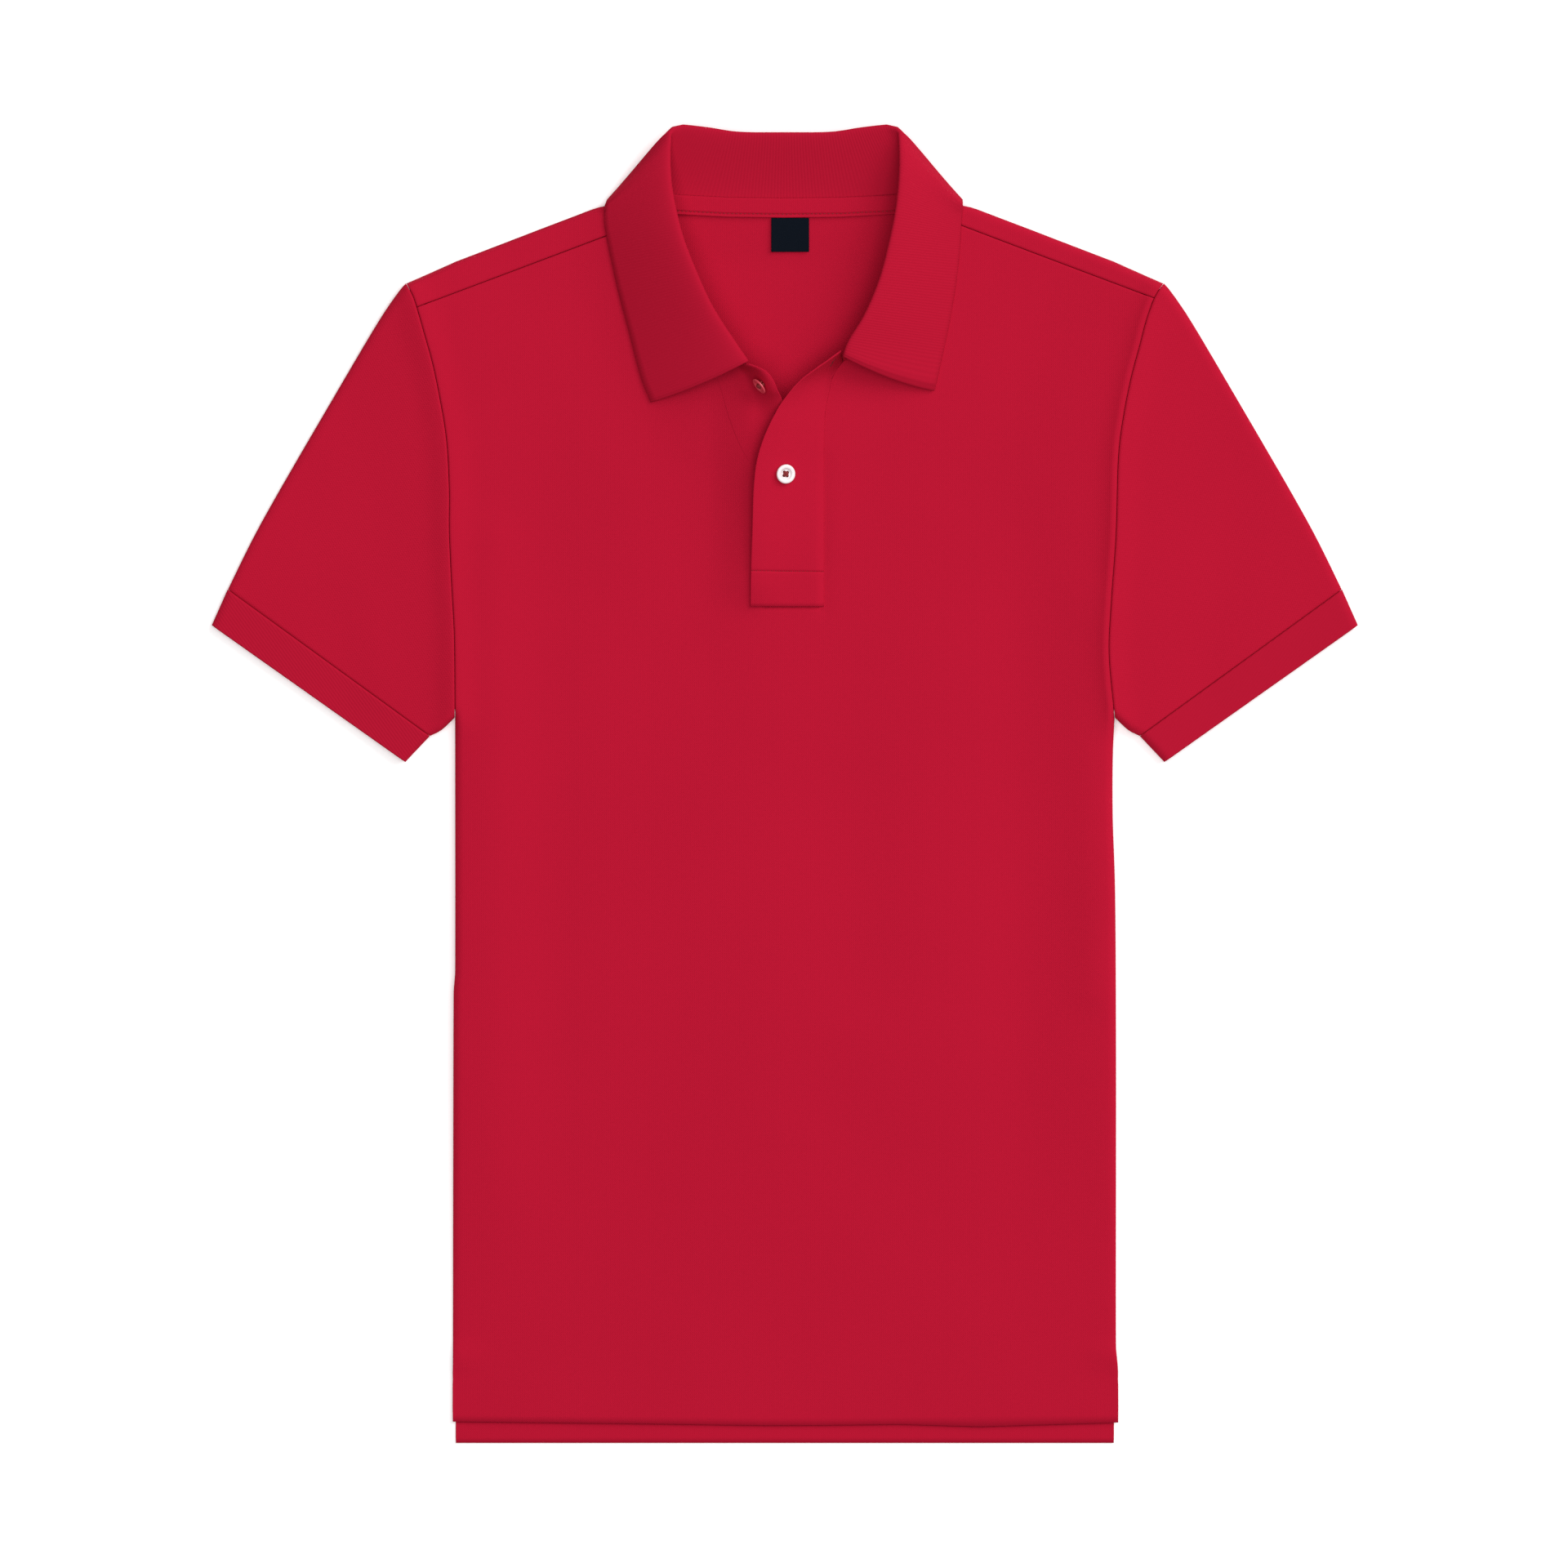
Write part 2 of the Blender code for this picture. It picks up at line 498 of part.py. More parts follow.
def back_under_half(side):
    """Grid of x, y places of one half of the back below the shoulder fold."""
    turned = -1.0 if side == "left" else 1.0
    edge_rows = [y for _, y in armhole_points(side)]
    for count, target in BACK_LEVELS:
        edge_rows.extend(np.linspace(edge_rows[-1], target, count + 1)[1:])
    crest_x = back_columns(SHOULDER_TIP[0] - HALF_GAP)
    crest = [along(TOP_FOLD[:SHOULDER_POINTS], x, 1, 0) if x > TOP_FOLD[0][0]
             else along(BACK_NECK, x, 1, 0) - HALF_GAP for x in crest_x]
    rows = []
    for y_edge in edge_rows:
        share = (SHOULDER_TIP[1] - y_edge) / (SHOULDER_TIP[1] - BACK_HEM_Y)
        columns = back_columns(outer_x(side, y_edge) if share > 0 else SHOULDER_TIP[0] - HALF_GAP)
        rows.append([(turned * x, mix(y_top, BACK_HEM_Y, share)) for x, y_top in zip(columns, crest)])
    return np.array(rows)


def back_wrap_half(side):
    """Grid of x, y places of the strip from the shoulder seam up to the fold, on the upper layer."""
    turned = -1.0 if side == "left" else 1.0
    seam_outer, seam_inner = (y + HALF_GAP for y in SHOULDER_SEAM[side])
    fold_inner = TOP_FOLD[0][1]
    outer_drop, inner_drop = SHOULDER_TIP[1] - seam_outer, fold_inner - seam_inner
    steps = fold_shares(BACK_FOLD_STEPS)[:0:-1]
    rows = []
    for share in [1.0] + [step / outer_drop for step in steps]:
        y_outer, y_inner = SHOULDER_TIP[1] - outer_drop * share, fold_inner - inner_drop * share
        start = np.array((along(ARMHOLE[side], y_outer) - HALF_GAP, y_outer))
        end = np.array((neck_point(side, y_inner), y_inner))
        crest_x = back_columns(SHOULDER_TIP[0] - HALF_GAP)[:BACK_FOLD_STEPS + BACK_OUTER_STEPS + 1]
        shares = (crest_x[0] - crest_x) / (crest_x[0] - crest_x[-1])
        rows.append([(turned * mix(start, end, s)[0], mix(start, end, s)[1]) for s in shares])
    return np.array(rows)


def build_back(material):
    """Back panel: from the shoulder seams on the front, over the shoulder folds, down to its hem."""
    under = [back_under_half("left"), back_under_half("right")]
    wrap = [back_wrap_half("left"), back_wrap_half("right")]
    under_places = np.concatenate((under[0], under[1][:, -2::-1]), axis=1)
    blank = np.zeros((wrap[0].shape[0], under_places.shape[1] - 2 * wrap[0].shape[1], 2))
    wrap_places = np.concatenate((wrap[0], blank, wrap[1][:, ::-1]), axis=1)
    lower, lower_out = skin_grid(-1, under_places, BODY_FOLDS)
    upper, upper_out = skin_grid(1, wrap_places, BODY_FOLDS)
    fold = lower[:1].copy()
    open_side_seam(lower, -1)
    lower[:1] = fold
    points = np.concatenate((upper, lower))
    directions = np.concatenate((upper_out, lower_out))
    kept = np.ones((points.shape[0] - 1, points.shape[1] - 1), bool)
    strip = wrap[0].shape[1] - 1
    kept[:wrap[0].shape[0], strip:-strip] = False
    wall("back", points, directions, CLOTH, material, kept)


# ---- sleeves and cuffs ----

def tube(side, sections, folds, raised=0.0):
    """Points and directions round a flattened tube whose sections cross the upper layer."""
    turned = -1.0 if side == "left" else 1.0
    points, directions = [], []
    for section in sections:
        places = [(turned * x, y) for x, y in section]
        over = [skin(1, x, y, folds, raised) for x, y in places]
        under = [skin(-1, x, y, folds, raised) for x, y in places[-2:0:-1]]
        points.append([point for point, _ in over + under])
        directions.append([direction for _, direction in over + under])
    return np.array(points), np.array(directions)


def section_shares(side):
    """Shares of the way across a sleeve, one for each point of the armhole."""
    travelled = lengths(np.array(armhole_points(side)))
    return travelled / travelled[-1]


def build_sleeve(side, material):
    """Set-in sleeve: a flattened tube from the armhole to the cuff's seam."""
    shares = section_shares(side)
    armhole = np.array(armhole_points(side)) + np.array((HALF_GAP, 0.0))
    seam = np.array(CUFF_SEAM) + np.array((-HALF_GAP, HALF_GAP)) / math.sqrt(2.0)
    opening = at_shares(seam, shares)
    steps = np.linspace(0, 1, SLEEVE_SECTIONS + 1)
    fold = at_shares([armhole[0], *TOP_FOLD[SHOULDER_POINTS:-2], opening[0]], steps)
    under = at_shares([armhole[-1], UNDER_FOLD[1], opening[-1]], steps)
    sections = []
    for index in range(SLEEVE_SECTIONS + 1):
        down = index / SLEEVE_SECTIONS
        section = []
        for place, share in enumerate(shares):
            straight = mix(armhole[place], opening[place], down) + mix(fold[index], under[index], share)
            corners = mix(mix(armhole[0], opening[0], down), mix(armhole[-1], opening[-1], down), share)
            section.append(straight - corners)
        sections.append(section)
    points, directions = tube(side, sections, SLEEVE_FOLDS)
    wall("sleeve_" + side, points, directions, CLOTH, material, ring=True)


def build_cuff(side, material):
    """Knitted band: a short flattened tube on the end of the sleeve."""
    shares = section_shares(side)
    seam = at_shares(np.array(CUFF_SEAM) + np.array((HALF_GAP, -HALF_GAP)) / math.sqrt(2.0), shares)
    edge = at_shares(CUFF_EDGE, shares)
    sections = [mix(seam, edge, index / CUFF_SECTIONS) for index in range(CUFF_SECTIONS + 1)]
    points, directions = tube(side, sections, SLEEVE_FOLDS, CUFF_HEIGHT - ENVELOPE)
    wall("cuff_" + side, points, directions, RIB, material, ring=True)


# ---- collar ----

def bezier(corners, steps, first=0):
    """Points of a cubic curve given by four corners."""
    start, leave, arrive, end = corners
    return [start * (1 - t) ** 3 + 3 * leave * t * (1 - t) ** 2 + 3 * arrive * t * t * (1 - t) + end * t ** 3
            for t in (step / steps for step in range(first, steps + 1))]


def collar_rows():
    """Collar sections from the left front end round the back to the right front end."""
    rows = []
    for side, turned in (("left", -1.0), ("right", 1.0)):
        half = []
        for index, row in enumerate(COLLAR_FRONT[side] + COLLAR_BACK):
            seam_x, seam_y, roll_x, roll_y, roll_z, edge_x, edge_y, edge_z, turn, bend = row
            layer = 1.0 if turn < 80 else (0.0 if turn < 90 else -1.0)
            half.append(collar_row(turned, layer, seam_x, seam_y, edge_x, edge_y, edge_z)
                        + [turned * roll_x, roll_y, roll_z, turn, bend, turned])
        half[-1][-1] = 0.0
        rows.extend(half if side == "left" else half[-2::-1])
    return rows


def collar_row(turned, layer, seam_x, seam_y, edge_x, edge_y, edge_z):
    """Seam point and leaf edge of a section, with their heights."""
    height, _ = skin(layer, turned * seam_x, seam_y, BODY_FOLDS)
    seam_z = height[2] - layer * CLOTH / 2
    if layer > 0:
        resting, _ = skin(1, turned * edge_x, edge_y, BODY_FOLDS)
        edge_z = resting[2] + SEAM_GAP + RIB / 2 + edge_z
    return [turned * seam_x, seam_y, seam_z, turned * edge_x, edge_y, edge_z]


def collar_section(row):
    """Middle points of one section: up the stand, round the roll, down the leaf."""
    seam, edge, roll = (np.array(row[start:start + 3]) for start in (0, 3, 6))
    turn, bend, turned = math.radians(row[9]), row[10], row[11]
    out = np.array((turned * abs(roll[1] - edge[1]), abs(edge[0] - roll[0]), 0.0))
    out /= max(np.linalg.norm(out), 1.0)
    facing = out * math.sin(turn) + np.array((0.0, 0.0, math.cos(turn)))
    inner = seam - roll
    inner[2] = 0.0
    reach = np.linalg.norm(inner)
    inner /= reach
    seam = seam - inner * COLLAR_SEAM_GAP
    leaf = edge - roll
    leaf[2] = 0.0
    stand = bezier((seam, seam - inner * reach * 0.35, roll - facing * bend, roll), STAND_STEPS)
    hang = edge - leaf * 0.55
    hang[2] = mix(edge[2], roll[2] + bend * 0.7 * math.cos(turn), 0.5) if turn < math.pi / 2 else edge[2]
    section = np.array(stand + bezier((roll, roll + facing * bend, hang, edge), LEAF_STEPS, 1))
    section[:, 2] = np.maximum(section[:, 2], RIB / 2 + 0.02)
    return section


def build_collar(material):
    """Flat knitted collar: one strip sewn to the neckline, standing up, rolled over and lying down."""
    rows = curve_through(collar_rows(), COLLAR_SPACING)
    middle_wall("collar", np.array([collar_section(row) for row in rows]), RIB, material)


# ---- plackets, tape, label and buttons ----

def placket_points(table, lift, curl, columns=PLACKET_COLUMNS, spacing=PLACKET_SPACING):
    """Middle points of a placket strip: rows up the strip, columns from its seam to its free edge."""
    grid = []
    for seam_x, seam_y, free_x, free_y, rise in curve_through(table, spacing):
        row = []
        for share in np.linspace(0.0, 1.0, columns + 1):
            x, y = mix(seam_x, free_x, share), mix(seam_y, free_y, share)
            row.append((x, y, upper_level(x, y, 99.0) + lift + rise * share ** curl))
        grid.append(row)
    return np.array(grid)


def top_placket_table():
    """Rows of the top placket, a half gap inside the slit."""
    rows = [list(row) for row in PLACKET_TOP]
    rows[0][1] = rows[0][3] = SLIT_BOTTOM_Y + HALF_GAP
    return [(seam_x - HALF_GAP, seam_y, free_x + HALF_GAP, free_y, rise)
            for seam_x, seam_y, free_x, free_y, rise in rows]


def under_placket_table():
    """Rows of the under placket, lapped below the left front."""
    return [(row[0] - UNDER_LAP, *row[1:]) for row in PLACKET_UNDER]


def build_tape(material):
    """Tape over the back neck seam, on the inside."""
    grid = []
    for x in np.linspace(-TAPE_HALF_LENGTH, TAPE_HALF_LENGTH, TAPE_COLUMNS):
        seam = along(BACK_NECK, abs(x), 1, 0)
        grid.append([(x, seam + offset, TAPE_FLOOR + TAPE / 2)
                     for offset in np.linspace(*TAPE_EDGES, 3)])
    middle_wall("neck_tape", np.array(grid), TAPE, material)


def build_label(material):
    """Bare woven label, sewn in below the tape."""
    grid = []
    for y in np.linspace(LABEL["top"], LABEL["bottom"], LABEL_ROWS):
        floor = lower_level(0.0, y) + CLOTH + SEAM_GAP
        grid.append([(x, y, floor + TAPE / 2) for x in np.linspace(LABEL["left"], LABEL["right"], 3)])
    middle_wall("neck_label", np.array(grid), TAPE, material)


def build_button(name, seat, up, material):
    """Four-hole button on a strip: seat is its underside's middle, up the way it faces."""
    builder = bmesh.new()
    profile = [builder.verts.new((radius * BUTTON_RADIUS, 0.0, height * BUTTON_HEIGHT))
               for radius, height in BUTTON_RIM]
    edges = [builder.edges.new(pair) for pair in zip(profile, profile[1:])]
    bmesh.ops.spin(builder, geom=profile + edges, cent=(0, 0, 0), axis=(0, 0, 1), angle=math.tau,
                   steps=BUTTON_SIDES, use_merge=False)
    bmesh.ops.remove_doubles(builder, verts=builder.verts[:], dist=0.01)
    bmesh.ops.holes_fill(builder, edges=builder.edges[:], sides=0)
    frame = Matrix.Translation(Vector(seat)) @ Vector(up).to_track_quat("Z", "Y").to_matrix().to_4x4()
    builder.transform(frame)
    button = make_object(name, builder, material)
    for index in range(4):
        angle = math.pi / 4 + index * math.pi / 2
        place = (HOLE_OFFSET * math.cos(angle), HOLE_OFFSET * math.sin(angle), BUTTON_HEIGHT / 2)
        cutter = bmesh.new()
        bmesh.ops.create_cone(cutter, cap_ends=True, segments=HOLE_SIDES, radius1=HOLE_RADIUS,
                              radius2=HOLE_RADIUS, depth=BUTTON_HEIGHT * 2,
                              matrix=frame @ Matrix.Translation(place))
        drill = make_object(f"{name}_hole_{index + 1}", cutter, material)
        drill.hide_render = True
        drill.display_type = "WIRE"
        cut = button.modifiers.new(f"hole_{index + 1}", "BOOLEAN")
        cut.operation = "DIFFERENCE"
        cut.solver = "EXACT"
        cut.object = drill
    return button


def button_place(grid, offset, target):
    """Seat and facing of a button at an offset over a strip, nearest to a target x, y."""
    directions = grid_directions(grid)
    directions *= np.sign(directions[:, :, 2:3])
    gaps = np.linalg.norm(grid[:, :, :2] - np.array(target), axis=2)
    row, column = np.unravel_index(np.argmin(gaps), gaps.shape)
    facing = directions[row, column]
    return grid[row, column] + facing * offset, facing


def build_plackets_and_buttons(cloth, pearl):
    """Both placket strips and the two buttons on them."""
    strips = (("placket_top", top_placket_table(), PLACKET_PROUD, TOP_CURL, STRIP, "button_second",
               BUTTON_SECOND_XY),
              ("placket_under", under_placket_table(), -UNDER_DROP, UNDER_CURL, CLOTH, "button_top",
               BUTTON_TOP_XY))
    for name, table, lift, curl, thickness, button, target in strips:
        middle_wall(name, placket_points(table, lift, curl), thickness, cloth)
        fine = placket_points(table, lift, curl, SEAT_COLUMNS, SEAT_SPACING)
        offset = thickness / 2 + THREAD_GAP[button]
        build_button(button, *button_place(fine, offset, target), pearl)


def main():
    """Clear the scene and build every piece."""
    for old in list(bpy.data.objects):
        bpy.data.objects.remove(old)
    knit = finish("red_pique", RED, 0.9)
    rib = finish("red_rib", DEEP_RED, 0.9)
    pearl = finish("pearl_button", PEARL, 0.25)
    label = finish("black_label", BLACK, 0.7)
    build_front(knit)
    build_back(knit)
    for side in ("left", "right"):
        build_sleeve(side, knit)
        build_cuff(side, rib)
    build_collar(rib)
    build_plackets_and_buttons(knit, pearl)
    build_tape(knit)
    build_label(label)


main()
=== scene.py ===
"""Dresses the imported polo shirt: knitted cloth, seams, buttons, floor, light and camera.

The shirt lies flat in the frame's XY plane, front upwards, its collar towards +Y. Every cloth piece is a
thin shell on the form of its solid: one laid envelope gives the heights, and each piece adds its own
edges, seams and soft creases. Sizes are in millimetres; a mesh is made in metres.
"""
from __future__ import annotations

import logging
import math
from collections.abc import Iterable
from dataclasses import dataclass
from enum import Enum
from functools import reduce

import bmesh
import bpy
import numpy as np
from mathutils import Matrix, Vector

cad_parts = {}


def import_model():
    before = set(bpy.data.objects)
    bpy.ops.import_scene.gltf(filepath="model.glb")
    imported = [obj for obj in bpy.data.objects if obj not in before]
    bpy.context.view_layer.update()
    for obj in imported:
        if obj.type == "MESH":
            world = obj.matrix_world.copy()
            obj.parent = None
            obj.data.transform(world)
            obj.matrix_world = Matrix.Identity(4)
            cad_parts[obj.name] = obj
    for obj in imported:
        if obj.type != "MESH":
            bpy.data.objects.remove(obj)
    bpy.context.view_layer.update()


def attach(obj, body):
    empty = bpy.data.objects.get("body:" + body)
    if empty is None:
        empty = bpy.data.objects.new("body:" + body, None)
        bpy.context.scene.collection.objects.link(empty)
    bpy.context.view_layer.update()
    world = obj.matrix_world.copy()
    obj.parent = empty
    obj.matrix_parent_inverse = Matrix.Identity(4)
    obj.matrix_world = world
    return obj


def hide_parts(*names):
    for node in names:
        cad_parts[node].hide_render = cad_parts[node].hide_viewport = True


LOG = logging.getLogger("polo_shirt")
MILLIMETRE = 0.001
BODY = "root"

Array, BMesh = np.ndarray, bmesh.types.BMesh
Object, Mesh = bpy.types.Object, bpy.types.Mesh
Tree, Node, Socket = bpy.types.NodeTree, bpy.types.Node, bpy.types.NodeSocket
Number = Array | float
Pair = tuple[float, float]
Colour = tuple[float, float, float]
Row = tuple[float, ...]
Table = tuple[Row, ...]
Names = tuple[str, ...]


class Side(Enum):
    """The viewer's left or right of the shirt."""

    LEFT = -1.0
    RIGHT = 1.0

    @property
    def word(self) -> str:
        """Name of the side, as the pieces use it."""
        return self.name.lower()


class Layer(Enum):
    """One of the two cloth layers of the laid envelope."""

    UPPER = 1.0
    UNDER = -1.0


# ---- where the edges and seams run; x is the distance from the shirt's middle ----

SEAM_GAP = 0.40
HALF_GAP = SEAM_GAP / 2
FLUSH_GAP = -0.06                # where the under placket runs on from the front
SLIT_ROOM = {Side.LEFT: FLUSH_GAP / 2, Side.RIGHT: 0.06}    # from the slit's line to the front's edge
SHOULDER_TIP = (220.2, 290.9)
UNDERARM_Y = 38.5
BACK_HEM_Y = -383.1
SLIT_BOTTOM_Y = 103.3
VENT_EASE = (-320.0, -346.0)     # from the closed side seam to the two free hems
UNDER_SHIFT = 1.5                # the under layer's seams lie this much further out on the sleeve
SHIFT_EASE = 0.06                # share of a seam over which that shift sets in beside each fold
SEAM_STEPS = (0.0, 0.3, 0.7, 1.3, 2.2, 3.5)     # distances of the closer columns from a seam

TOP_FOLD: Table = (
    (87.6, 341.2), (99.0, 337.2), (107.0, 335.6), (112.0, 334.1), (141.8, 322.8), (191.2, 303.8),
    SHOULDER_TIP, (225.9, 284.4), (238.2, 265.8), (266.2, 218.3), (293.8, 170.8), (309.5, 142.3),
    (323.7, 113.4), (333.2, 92.4))
SHOULDER_POINTS = 7              # rows of TOP_FOLD from the neck to the shoulder's tip
UNDER_FOLD: Table = ((191.7, UNDERARM_Y), (199.5, 31.4), (206.4, 27.8), (220.6, 12.8))
SIDE_FOLD: dict[Side, Table] = {
    Side.LEFT: ((191.7, UNDERARM_Y), (191.7, -110.0), (192.6, -120.0), (193.1, BACK_HEM_Y)),
    Side.RIGHT: ((191.7, UNDERARM_Y), (190.7, 15.0), (190.7, -20.0), (192.1, -66.0), (192.6, -160.0),
                 (192.6, -328.0), (193.6, -338.0), (193.9, BACK_HEM_Y)),
}
BACK_TAIL_X = 191.3              # the back's edge below the vents
ARMHOLE: dict[Side, Table] = {
    Side.LEFT: (SHOULDER_TIP, (216.6, 284.6), (214.0, 277.2), (209.2, 260.5), (204.5, 243.4),
                (200.2, 222.5), (196.6, 199.7), (195.0, 170.8), (195.0, 147.0), (193.6, 113.8),
                (192.1, 85.3), (191.7, UNDERARM_Y)),
    Side.RIGHT: (SHOULDER_TIP, (216.2, 285.4), (213.4, 279.4), (209.7, 268.6), (205.9, 253.9),
                 (201.2, 236.3), (196.7, 213.5), (193.8, 189.8), (192.4, 145.0), (189.6, 105.0),
                 (188.4, 75.0), (191.7, UNDERARM_Y)),
}
SHOULDER_SEAM = {Side.LEFT: (277.2, 326.4), Side.RIGHT: (282.4, 331.4)}     # y at the armhole, at the neck
NECK_SIDE: Table = ((87.6, 342.7), (84.8, 331.3), (81.5, 320.4), (77.7, 308.5), (71.5, 291.9),
                    (62.9, 274.3))
NECKLINE: dict[Side, Table] = {
    Side.LEFT: (*NECK_SIDE, (53.4, 259.1), (43.9, 246.8)),
    Side.RIGHT: (*NECK_SIDE, (53.4, 260.1), (44.0, 250.2), (38.0, 247.0), (33.4, 245.2)),
}
BACK_NECK: Table = ((87.6, 342.7), (81.0, 340.3), (62.0, 338.0), (33.5, 336.5), (0.0, 336.1))
SLIT: dict[Side, Table] = {
    Side.LEFT: ((43.9, 246.8), (38.2, 232.5), (32.4, 213.0), (26.6, 198.0), (20.5, 187.0), (15.8, 178.0),
                (13.8, 165.0), (13.6, SLIT_BOTTOM_Y)),
    Side.RIGHT: ((33.4, 245.2), (29.4, 240.0), (27.2, 235.6), (26.1, 230.6), (24.6, 223.3), (23.2, 214.2),
                 (22.6, 197.2), (22.6, SLIT_BOTTOM_Y)),
}
FRONT_HEM: Table = ((-193.0, -370.7), (-90.0, -371.8), (0.0, -373.1), (66.0, -372.2), (114.0, -373.6),
                    (193.0, -371.2))
CUFF_SEAM = ((323.9, 113.1), (206.4, 27.8))     # at the top fold and at the underarm
CUFF_EDGE = ((333.2, 92.4), (220.6, 12.8))
SLANT = np.array((1.0, -1.0)) / math.sqrt(2.0)  # across the cuff's seam, down the sleeve

CREASES: Table = (               # from x, y to x, y, half width, height
    (-170.0, 140.0, -166.0, -300.0, 16.0, 1.2),
    (-134.0, 60.0, -130.0, -250.0, 22.0, -0.8),
    (-78.0, 90.0, -84.0, -330.0, 30.0, -0.9),
    (-18.0, 40.0, -8.0, -200.0, 26.0, 0.65),
    (34.0, 60.0, 46.0, -120.0, 22.0, -0.6),
    (84.0, 150.0, 80.0, -190.0, 32.0, 1.3),
    (142.0, 140.0, 138.0, -250.0, 22.0, -1.1),
    (178.0, 105.0, 181.0, -120.0, 13.0, 1.5),
    (44.0, -150.0, 70.0, -350.0, 28.0, 0.7),
    (-40.0, -220.0, -30.0, -360.0, 34.0, -0.8),
    (-150.0, 250.0, -96.0, 180.0, 20.0, 0.55),
    (150.0, 255.0, 110.0, 170.0, 22.0, -0.55),
    (-262.0, 190.0, -236.0, 60.0, 16.0, 0.65),
    (268.0, 170.0, 240.0, 60.0, 16.0, -0.65),
    (-60.0, 150.0, -44.0, 60.0, 16.0, -0.55),
    (-19.0, 118.0, -12.0, 210.0, 14.0, 2.8),
    (23.0, 190.0, 23.0, 100.0, 3.2, -0.7))

COLLAR_BACK: Table = (           # seam x, y, roll x, y, z, edge x, y, z, turn of the roll, size of its bend
    (87.4, 343.0, 66.6, 378.4, 16.0, 103.0, 339.4, 4.6, 85, 3.4),
    (84.8, 342.2, 64.2, 381.2, 14.6, 99.5, 339.2, 1.8, 110, 3.2),
    (81.0, 340.3, 59.0, 382.5, 13.6, 92.9, 336.0, 0.8, 140, 3.2),
    (62.0, 338.0, 44.0, 380.9, 12.4, 69.0, 333.2, 0.8, 165, 3.3),
    (33.5, 336.5, 26.4, 378.4, 11.8, 35.9, 331.8, 0.8, 170, 3.2),
    (0.0, 336.1, 0.0, 378.1, 11.8, 0.0, 331.3, 0.8, 170, 3.2))
COLLAR_FRONT: dict[Side, Table] = {  # the same, with the edge's lift off the front in place of its z
    Side.LEFT: (
        (43.9, 247.2, 21.4, 245.4, 23.5, 77.7, 222.1, 0.3, 0, 5.0),
        (52.5, 259.1, 30.2, 258.2, 23.5, 83.4, 236.3, 0.2, 0, 5.0),
        (62.9, 274.3, 42.0, 276.7, 24.0, 90.0, 261.5, 0.1, 0, 5.0),
        (71.5, 291.9, 51.5, 297.1, 24.0, 96.7, 287.1, 0.1, 0, 5.0),
        (77.7, 308.5, 58.7, 315.6, 23.0, 101.4, 308.5, 0.1, 0, 5.0),
        (82.0, 322.8, 63.4, 333.2, 21.0, 104.3, 324.2, 0.1, 5, 5.0),
        (85.3, 333.2, 66.3, 350.3, 18.5, 104.7, 332.3, 0.3, 15, 4.5),
        (87.2, 339.8, 67.0, 367.9, 15.0, 104.3, 336.0, 3.2, 45, 4.0)),
    Side.RIGHT: (
        (34.0, 244.8, 34.2, 248.2, 21.5, 86.7, 228.7, 0.5, 0, 4.0),
        (43.5, 249.9, 37.0, 256.6, 22.5, 91.0, 248.0, 0.3, 0, 5.0),
        (59.0, 268.2, 46.6, 272.5, 23.5, 95.0, 266.5, 0.1, 0, 5.0),
        (70.0, 288.3, 55.0, 292.5, 24.0, 98.8, 288.5, 0.1, 0, 5.0),
        (77.2, 307.0, 60.4, 312.5, 24.0, 101.2, 309.0, 0.1, 0, 5.0),
        (82.0, 322.8, 64.4, 332.0, 23.5, 102.2, 324.0, 0.1, 5, 5.0),
        (85.3, 333.2, 66.5, 350.3, 22.0, 102.8, 332.0, 0.3, 15, 4.5),
        (87.2, 339.8, 67.0, 367.9, 19.0, 103.2, 336.2, 3.2, 45, 4.0)),
}
PLACKET_TOP: Table = (           # seam x, y, free edge x, y, rise of the free edge
    (22.6, 103.3, -20.0, 103.3, 0.2), (22.6, 125.0, -19.6, 125.0, 2.0), (22.6, 147.0, -18.9, 147.0, 4.2),
    (22.6, 178.4, -17.6, 178.4, 6.8), (22.6, 197.2, -13.6, 197.2, 8.6), (23.2, 214.2, -5.6, 215.0, 10.0),
    (24.6, 223.3, 0.6, 224.6, 10.8), (26.1, 230.6, 7.8, 233.2, 11.4), (27.2, 235.6, 15.0, 239.0, 11.8),
    (29.4, 240.0, 24.2, 245.4, 12.2), (33.4, 245.2, 32.6, 251.4, 12.6))
PLACKET_UNDER: Table = (
    (-13.7, 103.3, 20.4, 103.3, 0.0), (-13.7, 135.0, 20.4, 135.0, 0.0), (-14.6, 172.0, 15.0, 168.0, 0.0),
    (-24.0, 193.0, 8.3, 188.0, 0.2), (-32.4, 213.0, 3.1, 207.0, 2.0), (-35.4, 223.5, -1.2, 222.0, 8.4),
    (-38.2, 231.5, -4.2, 228.4, 13.4), (-41.0, 237.5, -6.8, 234.6, 15.8), (-43.0, 241.5, -11.2, 240.0, 16.2),
    (-44.0, 246.0, -19.0, 243.4, 16.0))


# ---- numbers along tables and lines ----

def smooth(value: Number) -> Number:
    """Ease a share from 0 to 1 with level ends."""
    share = np.clip(value, 0.0, 1.0)
    return share * share * (3.0 - 2.0 * share)


def ramp(value: Number, start: float, end: float) -> Number:
    """Ease from 0 at the start to 1 at the end."""
    return smooth((value - start) / (end - start))


def fall(gap: Number, reach: float) -> Number:
    """1 on a line, easing down to 0 at the reach."""
    return 1.0 - smooth(gap / reach)


def mix(start: Number, end: Number, share: Number) -> Number:
    """Point or number at a share of the way from start to end."""
    return start + (end - start) * share


def bell(gap: Array, width: float) -> Array:
    """Soft hump: 1 on a line, falling away over a width."""
    return np.exp(-(gap / width) ** 2)


def unit(vectors: Array) -> Array:
    """Vectors of length 1, the same way."""
    return vectors / np.maximum(np.linalg.norm(vectors, axis=-1, keepdims=True), 1e-9)


